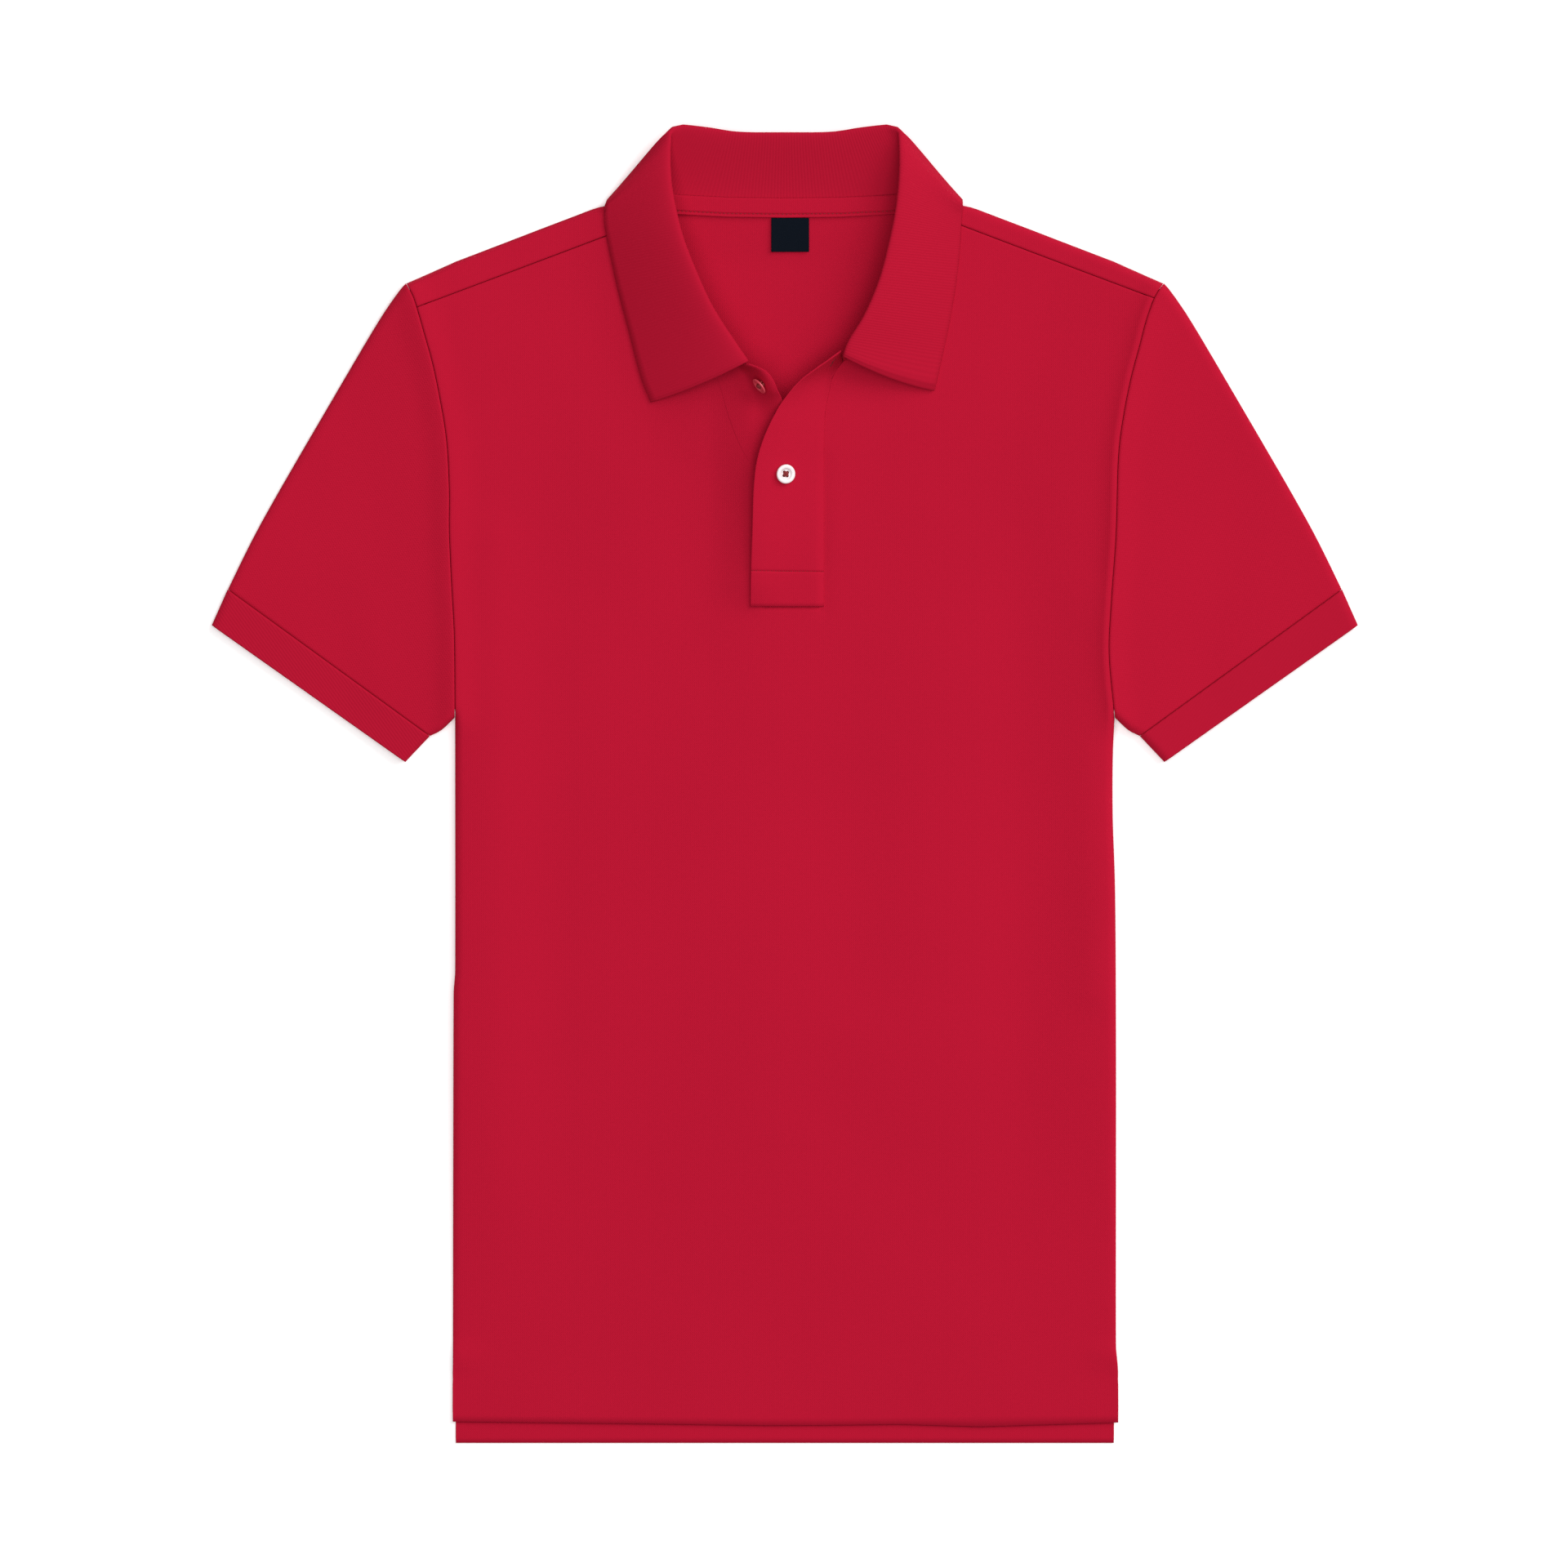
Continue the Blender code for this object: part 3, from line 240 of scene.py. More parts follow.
def lengths(points: Array) -> Array:
    """Distance travelled along a row of points at each of them."""
    return np.concatenate(([0.0], np.cumsum(np.linalg.norm(np.diff(points, axis=0), axis=1))))


def at_shares(points: Array, shares: Array) -> Array:
    """Read an open line at shares of its length.

    Args:
        points: The line's points.
        shares: Numbers from 0 to 1.

    Returns:
        One point for each share.
    """
    points = np.asarray(points, float)
    travelled = lengths(points)
    return np.column_stack([np.interp(np.asarray(shares) * travelled[-1], travelled, points[:, axis])
                            for axis in range(points.shape[1])])


def curve_through(rows: Table | Array, spacing: float) -> Array:
    """Resample rows on a smooth curve through them.

    Args:
        rows: Rows whose first two columns are x and y.
        spacing: About how far apart the new rows lie in x and y.

    Returns:
        The new rows, the first and the last unchanged.
    """
    rows = np.asarray(rows, float)
    padded = np.vstack((2 * rows[0] - rows[1], rows, 2 * rows[-1] - rows[-2]))
    result = []
    for before, start, end, after in zip(padded, padded[1:], padded[2:], padded[3:]):
        steps = max(1, round(float(np.linalg.norm((end - start)[:2])) / spacing))
        for t in np.arange(steps) / steps:
            result.append(0.5 * (2 * start + (end - before) * t
                                 + (2 * before - 5 * start + 4 * end - after) * t ** 2
                                 + (3 * start - before - 3 * end + after) * t ** 3))
    return np.array(result + [rows[-1]])


def x_at(line: Array, y: Number) -> Number:
    """x of a line that runs down the shirt, at a height y."""
    return np.interp(y, line[::-1, 1], line[::-1, 0])


def below(line: Array, y: float, room: float = 0.5) -> Array:
    """The part of a line below a height, started at that height."""
    return np.vstack(((x_at(line, y), y), line[line[:, 1] < y - room]))


def turned(line: Table | Array, side: Side) -> Array:
    """A line of distances from the middle, put on its side of the shirt."""
    return np.asarray(line, float)[:, :2] * (side.value, 1.0)


def line_gaps(line: Array, places: Array) -> tuple[Array, Array, Array]:
    """Measure how far places lie from an open line.

    Args:
        line: Points of the line.
        places: Rows of x, y.

    Returns:
        The distances, the nearest stretch of the line and the share along that stretch.
    """
    starts, steps = line[:-1], np.diff(line, axis=0)
    offsets = places[:, None, :] - starts[None]
    squares = np.maximum(np.sum(steps * steps, axis=1), 1e-9)
    shares = np.clip(np.einsum("psk,sk->ps", offsets, steps) / squares, 0.0, 1.0)
    gaps = np.linalg.norm(offsets - shares[..., None] * steps, axis=2)
    best = np.argmin(gaps, axis=1)
    rows = np.arange(len(places))
    return gaps[rows, best], best, shares[rows, best]


def nearest_gap(lines: Iterable[Array], places: Array) -> Array:
    """Distance from each place to the nearest of several lines."""
    return np.min([line_gaps(line, places)[0] for line in lines], axis=0)


def under_shift(shares: Number) -> Number:
    """Shift of the under layer's seam at shares of its length: none at both folds."""
    return UNDER_SHIFT * smooth(shares / SHIFT_EASE) * smooth((1.0 - shares) / SHIFT_EASE)


def shares_with(count: int, near: Row) -> Array:
    """Even shares from 0 to 1, with closer ones added beside seams."""
    return np.sort(np.concatenate((np.linspace(0.0, 1.0, count + 1), near)))


def descend(stops: Row, counts: tuple[int, ...]) -> Array:
    """Even steps from stop to stop, without the first stop itself."""
    return np.concatenate([np.linspace(start, end, count + 1)[1:]
                           for start, end, count in zip(stops, stops[1:], counts)])


def fold_steps(reach: float, count: int) -> Array:
    """Distances from a folded edge, closest together where the cloth turns."""
    return reach * (1.0 - np.cos(math.pi / 2 * np.arange(count + 1) / count))


def paced(length: float, count: int, close_start: bool = True, close_end: bool = True) -> Array:
    """Distances along a row that lie close together beside its seams.

    Args:
        length: Length of the row.
        count: How many even steps lie between the close ones.
        close_start: Whether the row starts at a seam or an edge.
        close_end: Whether it ends at one.

    Returns:
        Distances from 0 to length.
    """
    close = np.array(SEAM_STEPS)
    head = close if close_start else np.zeros(1)
    tail = (length - close[::-1]) if close_end else np.array((length,))
    return np.concatenate((head, np.linspace(head[-1], tail[0], count + 1)[1:-1], tail))


# the lines above on smooth curves, their points about so many millimetres apart
ARM_LINES = {side: curve_through(ARMHOLE[side], 2.5) for side in Side}
NECK_CURVES = {side: curve_through(NECKLINE[side], 3.0) for side in Side}
SLIT_CURVES = {side: curve_through(SLIT[side], 4.0) for side in Side}
SIDE_CURVES = {side: curve_through(SIDE_FOLD[side], 8.0) for side in Side}
ARM_SEAMS = {side: turned(ARM_LINES[side], side) for side in Side}
NECK_RIMS = [turned(np.vstack((NECK_CURVES[side], SLIT_CURVES[side][:8])), side) for side in Side]
BODY_RIMS = [turned(np.vstack((ARM_LINES[side], SIDE_FOLD[side][1:])), side) for side in Side]
LEFT_SLIT = turned(SLIT_CURVES[Side.LEFT], Side.LEFT)


# ---- the envelope that the laid layers follow ----

class FoldChain:
    """A chain of folded edges on one side of the shirt, with its inward direction at each point."""

    def __init__(self, side: Side, table: Table, inside: Pair) -> None:
        """Place the chain on its side.

        Args:
            side: The side of the shirt.
            table: Points of the chain.
            inside: A place on the cloth's side of it.
        """
        self.points = turned(curve_through(table, 12.0), side)
        steps = np.diff(self.points, axis=0)
        normals = unit(np.column_stack((-steps[:, 1], steps[:, 0])))
        towards = np.array((side.value * inside[0], inside[1])) - self.points[:-1]
        normals *= np.sign(np.sum(normals * towards, axis=1))[:, None]
        self.inward = unit(np.vstack((normals[0], normals[:-1] + normals[1:], normals[-1])))

    def nearest(self, places: Array) -> tuple[Array, Array]:
        """Distances from places to the chain, and the inward directions there."""
        gaps, best, shares = line_gaps(self.points, places)
        return gaps, unit(mix(self.inward[best], self.inward[best + 1], shares[:, None]))


TOP_CHAINS = [FoldChain(side, TOP_FOLD, (150.0, 0.0)) for side in Side]
BODY_FOLDS = TOP_CHAINS + [FoldChain(side, SIDE_FOLD[side], (0.0, -100.0)) for side in Side]
SLEEVE_FOLDS = TOP_CHAINS + [FoldChain(side, UNDER_FOLD, (270.0, 130.0)) for side in Side]


def vent_share(y: Array) -> Array:
    """0 where the side seam is closed, 1 where the hems lie free."""
    return ramp(y, *VENT_EASE)


@dataclass(frozen=True)
class Groove:
    """A seam or stitched line that draws the cloth in, or a welt that lifts it."""

    line: Array
    depth: float = 0.6
    width: float = 0.5

    def at(self, places: Array) -> Array:
        """How far the cloth is drawn in at each place."""
        return self.depth * bell(line_gaps(self.line, places)[0], self.width)


def shoulder_groove(side: Side) -> Groove:
    """The seam on the front from the armhole up to the neck.

    Args:
        side: The side of the shirt.

    Returns:
        The groove along the seam.
    """
    outer, inner = SHOULDER_SEAM[side]
    return Groove(turned(((x_at(ARM_LINES[side], outer), outer), (x_at(NECK_CURVES[side], inner), inner)),
                         side))


ARM_GROOVES = tuple(Groove(seam) for seam in ARM_SEAMS.values())
SHOULDER_GROOVES = tuple(shoulder_groove(side) for side in Side)
CUFF_GROOVES = {side: Groove(turned(CUFF_SEAM, side)) for side in Side}


@dataclass(frozen=True)
class LaidForm:
    """The flattened envelope: two cloth layers that turn into each other at folded edges."""

    height: float = 4.3
    fold_reach: float = 5.0
    neck_reach: float = 50.0
    neck_rise: float = 2.7
    collar_bed: float = 1.9      # lift of the under layer where the collar's leaf lies below it
    bed_y: Pair = (300.0, 330.0)
    bed_x: Pair = (106.0, 131.0)
    vent_height: float = 2.4
    vent_gape: float = 1.1
    gape_reach: float = 25.0     # how far inwards from the folded edge the vents gape
    puff: float = 2.6
    puff_reach: float = 66.0
    ridge: float = 2.2           # stands up along both armholes
    ridge_width: float = 9.0
    settle_y: Pair = (-130.0, -352.0)   # where the body settles down to its hem
    swell: float = 4.0           # the front's rise towards the slit's left edge
    swell_x: float = -19.0
    swell_width: float = 26.0
    swell_right: float = 0.35    # how fast the rise falls to the right, against 1 to the left
    swell_y: Pair = (95.0, 190.0)
    crease_mean: float = 0.75    # a crease's mean height along its length, as a share of its greatest
    crease_swing: float = 5.0    # radians of its swing from one end to the other

    def creased(self, places: Array) -> Array:
        """Height of the listed soft ridges and troughs.

        Args:
            places: Rows of x, y.

        Returns:
            Heights to add to the upper layer.
        """
        total = np.zeros(len(places))
        for x0, y0, x1, y1, width, height in CREASES:
            gaps, _, shares = line_gaps(np.array(((x0, y0), (x1, y1))), places)
            swing = (1.0 - self.crease_mean) * np.cos(shares * self.crease_swing + x0)
            total += height * bell(gaps, width) * (self.crease_mean + swing)
        return total

    def upper(self, places: Array, fold_gap: Number = 99.0) -> Array:
        """Height of the upper layer's outer face away from the folds.

        Args:
            places: Rows of x, y.
            fold_gap: Distance of each place from the nearest folded edge.

        Returns:
            Heights above the surface that the shirt lies on.
        """
        x, y = places.T
        vent = vent_share(y)
        level = self.height + self.neck_rise * fall(nearest_gap(NECK_RIMS, places), self.neck_reach)
        level += self.puff * fall(nearest_gap(BODY_RIMS, places), self.puff_reach) + self.creased(places)
        ridge = self.ridge * bell(nearest_gap(ARM_SEAMS.values(), places), self.ridge_width)
        slope = np.where(x < self.swell_x, 1.0, self.swell_right)
        swelling = self.swell * fall(np.abs(x - self.swell_x) * slope, self.swell_width)
        level += ridge + swelling * ramp(y, *self.swell_y)
        gape = self.vent_gape * 4.0 * vent * (1.0 - vent) * fall(np.asarray(fold_gap), self.gape_reach)
        return mix(level, self.vent_height, ramp(y, *self.settle_y)) + gape

    def lower(self, places: Array) -> Array:
        """Height of the under layer's outer face: flat, but for the bed of the collar's leaf."""
        x, y = places.T
        return self.collar_bed * ramp(y, *self.bed_y) * (1.0 - ramp(np.abs(x), *self.bed_x))

    def surface(self, layer: Layer, grid: Array, folds: list[FoldChain], raised: float = 0.0,
                grooves: tuple[Groove, ...] = ()) -> tuple[Array, Array]:
        """Lay a grid of places on one face of the envelope.

        Args:
            layer: Which cloth layer.
            grid: x, y places, of any grid shape.
            folds: The folded edges round the piece.
            raised: Extra height of the piece.
            grooves: Seams and welts across it.

        Returns:
            The points and their outward directions.
        """
        places = grid.reshape(-1, 2)
        found = [fold.nearest(places) for fold in folds]
        gaps = np.array([gap for gap, _ in found])
        best, rows = np.argmin(gaps, axis=0), np.arange(len(places))
        gap, inward = gaps[best, rows], np.array([way for _, way in found])[best, rows]
        turn, free = np.minimum(gap / self.fold_reach, 1.0), vent_share(places[:, 1])
        bend = mix(np.sqrt(1.0 - (1.0 - turn) ** 2), 1.0, free)
        top, bottom = self.upper(places, gap) + raised, self.lower(places)
        half = (top - bottom) / 2
        outward = unit(np.column_stack((((turn - 1.0) * (1.0 - free))[:, None] * inward,
                                        layer.value * bend)))
        points = np.column_stack((places, bottom + half + layer.value * half * bend))
        drawn = sum((groove.at(places) for groove in grooves), np.zeros(len(places)))
        points[:, 2] -= layer.value * drawn * bend
        return points.reshape(grid.shape[:-1] + (3,)), outward.reshape(grid.shape[:-1] + (3,))


# ---- finishes ----

def node_with(tree: Tree, kind: str, links: dict[str | int, Socket], **values: object) -> Node:
    """Add a node.

    Args:
        tree: The node tree.
        kind: The node's type.
        links: Sockets that feed its inputs, by name or number.
        values: Values of other inputs, by name, with _ for a space.

    Returns:
        The node.
    """
    node = tree.nodes.new(kind)
    for key, source in links.items():
        tree.links.new(source, node.inputs[key])
    set_inputs(node, **values)
    return node


def set_inputs(node: Node, **values: object) -> None:
    """Set a node's inputs by name, with _ for a space."""
    for key, value in values.items():
        node.inputs[key.replace("_", " ")].default_value = value


@dataclass(frozen=True)
class Finish:
    """A surface finish that builds its material once."""

    name: str = "plain"
    colour: Colour = (0.8, 0.8, 0.8)
    roughness: float = 0.85

    def material(self) -> bpy.types.Material:
        """The finish's material, made when it is first asked for.

        Returns:
            The material.
        """
        made = bpy.data.materials.get(self.name)
        if made is None:
            made = bpy.data.materials.new(self.name)
            made.use_nodes = True
            shader = made.node_tree.nodes["Principled BSDF"]
            set_inputs(shader, Base_Color=(*self.colour, 1.0), Roughness=self.roughness)
            self.pattern(made.node_tree, shader)
        return made

    def pattern(self, tree: Tree, shader: Node) -> None:
        """Add the finish's own nodes."""

    @staticmethod
    def maths(tree: Tree, operation: str, *values: object) -> Socket:
        """Add a math node.

        Args:
            tree: The material's node tree.
            operation: Name of the operation.
            values: Sockets or numbers for its inputs.

        Returns:
            Its result.
        """
        node = tree.nodes.new("ShaderNodeMath")
        node.operation = operation
        for socket, value in zip(node.inputs, values):
            if isinstance(value, Socket):
                tree.links.new(value, socket)
            else:
                socket.default_value = value
        return node.outputs[0]

    def total(self, tree: Tree, *parts: tuple[Socket, float]) -> Socket:
        """Sum of sockets, each times its weight."""
        scaled = [self.maths(tree, "MULTIPLY", socket, weight) for socket, weight in parts]
        return reduce(lambda first, second: self.maths(tree, "ADD", first, second), scaled)

    @staticmethod
    def noise(tree: Tree, chart: Socket, scale: float, detail: float) -> Socket:
        """Noise over the chart, between 0 and 1."""
        return node_with(tree, "ShaderNodeTexNoise", {"Vector": chart}, Scale=scale,
                         Detail=detail).outputs["Fac"]

    @staticmethod
    def bump(tree: Tree, shader: Node, height: Socket, strength: float, distance: float) -> None:
        """Give the shader relief from a height, over a distance in metres."""
        node = node_with(tree, "ShaderNodeBump", {"Height": height}, Strength=strength, Distance=distance)
        tree.links.new(node.outputs["Normal"], shader.inputs["Normal"])

    @staticmethod
    def blend(tree: Tree, shader: Node, share: Socket, *colours: Colour) -> None:
        """Colour the shader from two colours.

        Args:
            tree: The material's node tree.
            shader: Its shader.
            share: How much of the second colour there is, from 0 to 1.
            colours: Both colours.
        """
        node = tree.nodes.new("ShaderNodeMix")
        node.data_type = "RGBA"
        tree.links.new(share, node.inputs["Factor"])
        for index, colour in zip((6, 7), colours):       # the node's colour inputs, A and B
            node.inputs[index].default_value = (*colour, 1.0)
        tree.links.new(node.outputs[2], shader.inputs["Base Color"])


@dataclass(frozen=True)
class Knit(Finish):
    """Knitted cotton: loops in columns and rows, with soft changes of tone, painted shade in the loops'
    hollows and a faint sheen.
    """

    column: float = 1.25         # mm from one column of loops to the next
    row: float = 1.05
    relief: float = 0.10         # mm
    rib: float = 0.0             # 0 for an even knit, 1 for ribs along the columns
    sheen: float = 0.03
    tone: float = 0.05           # how much the colour changes over the cloth
    gleam: Colour = (1.0, 0.22, 0.30)   # tint of the fibres' own shine
    fuzz: Pair = (2400.0, 1.0)   # scale and detail of the loose fibres' noise
    broad: Pair = (9.0, 1.5)     # the same for the broad changes of tone
    fine: Pair = (420.0, 2.0)    # the same for the fine ones
    column_share: float = 0.35   # how much the columns stand out of an even knit
    fuzz_share: float = 0.5
    strength: float = 0.55
    tone_and_shade_shares: Row = (0.75, 0.25, 0.12)       # of the broad and the fine changes, and of the painted shade and highlight that follow the loops' relief

    def pattern(self, tree: Tree, shader: Node) -> None:
        """Loops as a bump, tone from noise, painted shade in the loops' hollows with painted highlight on
        their crests, and sheen on the shader itself.

        Args:
            tree: The material's node tree.
            shader: Its shader.
        """
        chart = tree.nodes.new("ShaderNodeUVMap")
        chart.uv_map = "cloth"
        place = chart.outputs["UV"]
        split = node_with(tree, "ShaderNodeSeparateXYZ", {0: place})
        columns, rows = (self.maths(tree, "SINE", self.maths(tree, "MULTIPLY", split.outputs[index],
                                                             math.tau / (pitch * MILLIMETRE)))
                         for index, pitch in enumerate((self.column, self.row)))
        loops = self.maths(tree, "MULTIPLY", columns, rows)
        ribs = mix(self.column_share, 1.0, self.rib)
        knit = self.total(tree, (loops, 1.0 - self.rib), (columns, ribs))
        fuzz, broad, fine = (self.noise(tree, place, *size) for size in (self.fuzz, self.broad, self.fine))
        self.bump(tree, shader, self.total(tree, (knit, 1.0), (fuzz, self.fuzz_share)), self.strength,
                  self.relief * MILLIMETRE)
        dark, light = (tuple(part * (1.0 + change) for part in self.colour)
                       for change in (-self.tone, self.tone))
        # the loops' relief darkens their hollows and lightens their crests: painted shade and painted
        # highlight
        share = self.total(tree, *zip((broad, fine, knit), self.tone_and_shade_shares))
        self.blend(tree, shader, share, dark, light)
        set_inputs(shader, Sheen_Weight=self.sheen, Sheen_Roughness=0.45, Sheen_Tint=(*self.gleam, 1.0),
                   Specular_IOR_Level=0.06, Specular_Tint=(*self.gleam, 1.0))


@dataclass(frozen=True)
class Pearl(Finish):
    """Polished shell-like button plastic with a faint cloudy tint."""

    cloud: Colour = (0.93, 0.80, 0.80)
    clouds: Pair = (260.0, 3.0)  # scale and detail of their noise

    def pattern(self, tree: Tree, shader: Node) -> None:
        """Cloudy tint from noise, gloss on the shader itself.

        Args:
            tree: The material's node tree.
            shader: Its shader.
        """
        place = tree.nodes.new("ShaderNodeTexCoord").outputs["Object"]
        self.blend(tree, shader, self.noise(tree, place, *self.clouds), self.colour, self.cloud)
        set_inputs(shader, Coat_Weight=0.4, Coat_Roughness=0.08)


@dataclass(frozen=True)
class PaleFloor(Finish):
    """Matt pale surface under the shirt, lit a little from within as a light table is."""

    glow: float = 0.27
    grain: Pair = (40.0, 3.0)    # scale and detail of the grain's noise
    strength: float = 0.02

    def pattern(self, tree: Tree, shader: Node) -> None:
        """A trace of grain, and the glow on the shader itself.

        Args:
            tree: The material's node tree.
            shader: Its shader.
        """
        place = tree.nodes.new("ShaderNodeTexCoord").outputs["Object"]
        self.bump(tree, shader, self.noise(tree, place, *self.grain), self.strength, MILLIMETRE)
        set_inputs(shader, Specular_IOR_Level=0.1, Emission_Color=(1.0, 1.0, 1.0, 1.0),
                   Emission_Strength=self.glow)


PIQUE = Knit("pique_knit", (0.465, 0.0080, 0.0310), 0.9)
# RIB is a little darker than PIQUE on the collar and the cuffs: partly the flat knit's own shade, partly
# painted shade for the collar's shaded leaf and stand
RIB = Knit("rib_knit", (0.438, 0.0078, 0.0298), 0.9, column=1.6, relief=0.08, rib=0.8)
LABEL_WEAVE = Knit("label_weave", (0.003, 0.0045, 0.008), 0.6, column=0.45, row=0.45, relief=0.04,
                   sheen=0.02, gleam=(0.5, 0.7, 1.0))
THREAD = Finish("sewing_thread", (0.30, 0.006, 0.020), 0.7)
SEAM_THREAD = Finish("seam_thread", (0.14, 0.003, 0.010), 0.8)
DARK_THREAD = Finish("button_thread", (0.22, 0.010, 0.012), 0.6)
PEARL = Pearl("pearl_shell", (0.90, 0.84, 0.86), 0.22)
PAINTED_SHADE_PEARL = Pearl("pearl_painted_shade_and_reflection", (0.76, 0.09, 0.13), 0.3, (0.58, 0.040, 0.062))     # painted shade and a painted reflection of the red cloth, for the top button
FLOOR = PaleFloor("pale_floor", (0.92, 0.92, 0.92), 0.9)


# ---- shells ----

def link(name: str, data: bpy.types.ID) -> Object:
    """Put data in the scene as an object at the origin.

    Args:
        name: Name of the object.
        data: Its mesh, curve, light or camera.

    Returns:
        The object.
    """
    made = bpy.data.objects.new(name, data)
    bpy.context.scene.collection.objects.link(made)
    return made


def baked(source: Object) -> Mesh:
    """Plain mesh of an object as its modifiers leave it."""
    return bpy.data.meshes.new_from_object(source.evaluated_get(bpy.context.evaluated_depsgraph_get()))


def edge_numbers(pairs: Array, count: int) -> Array:
    """One number for each pair of corners, whichever comes first."""
    low, high = np.sort(pairs, axis=1).astype(np.int64).T
    return low * count + high


def grid_directions(points: Array) -> Array:
    """Unit directions square to a grid of points."""
    return unit(np.cross(np.gradient(points, axis=0), np.gradient(points, axis=1)))


def grid_chart(points: Array) -> Array:
    """Chart of a grid: distance along its rows' middle and distance across each row.

    Args:
        points: Rows by columns by 3.

    Returns:
        The same grid with 2 numbers at each point.
    """
    centre = points[:, points.shape[1] // 2]
    along = np.repeat(lengths(centre)[:, None], points.shape[1], axis=1)
    across = np.array([lengths(row) for row in points])
    return np.stack((along, across), axis=2)


@dataclass
class Shell:
    """A closed sheet of cloth: an outer face, an inner face and a rounded rim.

    outer and outward are rows by columns by 3, chart is rows by columns by 2. kept marks the cells that
    are cloth, and a ring joins its last column to its first.
    """

    outer: Array
    outward: Array
    thickness: float
    chart: Array
    kept: Array | None = None
    ring: bool = False
    lip: float = 0.18            # how far the rim stands out, as a share of the thickness
    flush: Array | None = None   # seam where the face runs on into the next piece without a line
    flush_reach: float = 0.5

    def quads(self) -> Array:
        """Corner indices of the cells that are cloth.

        Returns:
            Four indices for each cell.
        """
        rows, columns = self.outer.shape[:2]
        kept = self.kept
        if kept is None:
            kept = np.ones((rows - 1, columns if self.ring else columns - 1), bool)
        index = np.arange(rows * columns).reshape(rows, columns)
        row, column = np.nonzero(kept)
        after = (column + 1) % columns
        return np.stack((index[row, column], index[row, after], index[row + 1, after],
                         index[row + 1, column]), axis=1)

    def build(self, name: str, finish: Finish) -> Object:
        """Make the sheet's object.

        Args:
            name: Name of the object.
            finish: What it is knitted or made of.

        Returns:
            The object, with its chart as the UV map named cloth.
        """
        outer, outward = self.outer.reshape(-1, 3), self.outward.reshape(-1, 3)
        inner, count, quads = outer - outward * self.thickness, len(outer), self.quads()
        edges = np.concatenate([quads[:, (0, 1)], quads[:, (1, 2)], quads[:, (2, 3)], quads[:, (3, 0)]])
        _, first, uses = np.unique(edge_numbers(edges, count), return_index=True, return_counts=True)
        rim, cells = edges[first[uses == 1]], (first[uses == 1]) % len(quads)
        middle = (outer + inner) / 2
        centres, pull = middle[quads].mean(axis=1), np.zeros((count, 3))
        for end in (0, 1):
            np.add.at(pull, rim[:, end], middle[rim[:, end]] - centres[cells])
        rimmed = np.unique(rim)
        pull, facing = pull[rimmed], outward[rimmed]
        out = unit(pull - facing * np.sum(pull * facing, axis=1)[:, None])
        lips = np.zeros(count, int)
        lips[rimmed] = 2 * count + np.arange(len(rimmed))
        start, end = rim[:, 0], rim[:, 1]
        faces = np.concatenate((
            quads, quads[:, ::-1] + count,
            np.stack((end, start, lips[start], lips[end]), axis=1),
            np.stack((lips[end], lips[start], start + count, end + count), axis=1)))
        points = np.concatenate((outer, inner, middle[rimmed] + out * self.thickness * self.lip))
        chart = self.chart.reshape(-1, 2)
        chart = np.concatenate((chart, chart, chart[rimmed])) * MILLIMETRE
        used, faces = np.unique(faces, return_inverse=True)
        faces = faces.reshape(-1, 4)
        made = self.finished(name, points[used] * MILLIMETRE, faces, chart[used], finish)
        if self.flush is not None:
            flush = line_gaps(self.flush, outer[rim].mean(axis=1)[:, :2])[0] < self.flush_reach
            self.crease(made.data, np.searchsorted(used, rim[flush]))
        return made

    @staticmethod
    def crease(mesh: Mesh, pairs: Array) -> None:
        """Keep the shading of two faces apart along some edges.

        Args:
            mesh: The sheet's mesh.
            pairs: The ends of those edges.
        """
        ends = np.zeros(len(mesh.edges) * 2, np.int32)
        mesh.edges.foreach_get("vertices", ends)
        ends, pairs = (edge_numbers(found, len(mesh.vertices)) for found in (ends.reshape(-1, 2), pairs))
        mesh.attributes.new("sharp_edge", "BOOLEAN", "EDGE").data.foreach_set("value", np.isin(ends, pairs))

    @staticmethod
    def finished(name: str, points: Array, faces: Array, chart: Array, finish: Finish) -> Object:
        """Object from points, faces and chart, with its faces outwards.

        Args:
            name: Name of the object.
            points: Corners, in metres.
            faces: Four indices for each face.
            chart: u, v of each corner.
            finish: Its finish.

        Returns:
            The object.
        """
        corners = points[faces]
        volume = sum(np.einsum("ij,ij->i", corners[:, 0], np.cross(corners[:, a], corners[:, b])).sum()
                     for a, b in ((1, 2), (2, 3)))
        if volume < 0.0:
            faces = faces[:, ::-1]
        mesh = bpy.data.meshes.new(name)
        mesh.from_pydata(points.tolist(), [], faces.tolist())
        layer = mesh.uv_layers.new(name="cloth")
        layer.data.foreach_set("uv", chart[faces.reshape(-1)].reshape(-1).astype(np.float32))
        mesh.shade_smooth()
        mesh.materials.append(finish.material())
        return link(name, mesh)


# ---- pieces ----

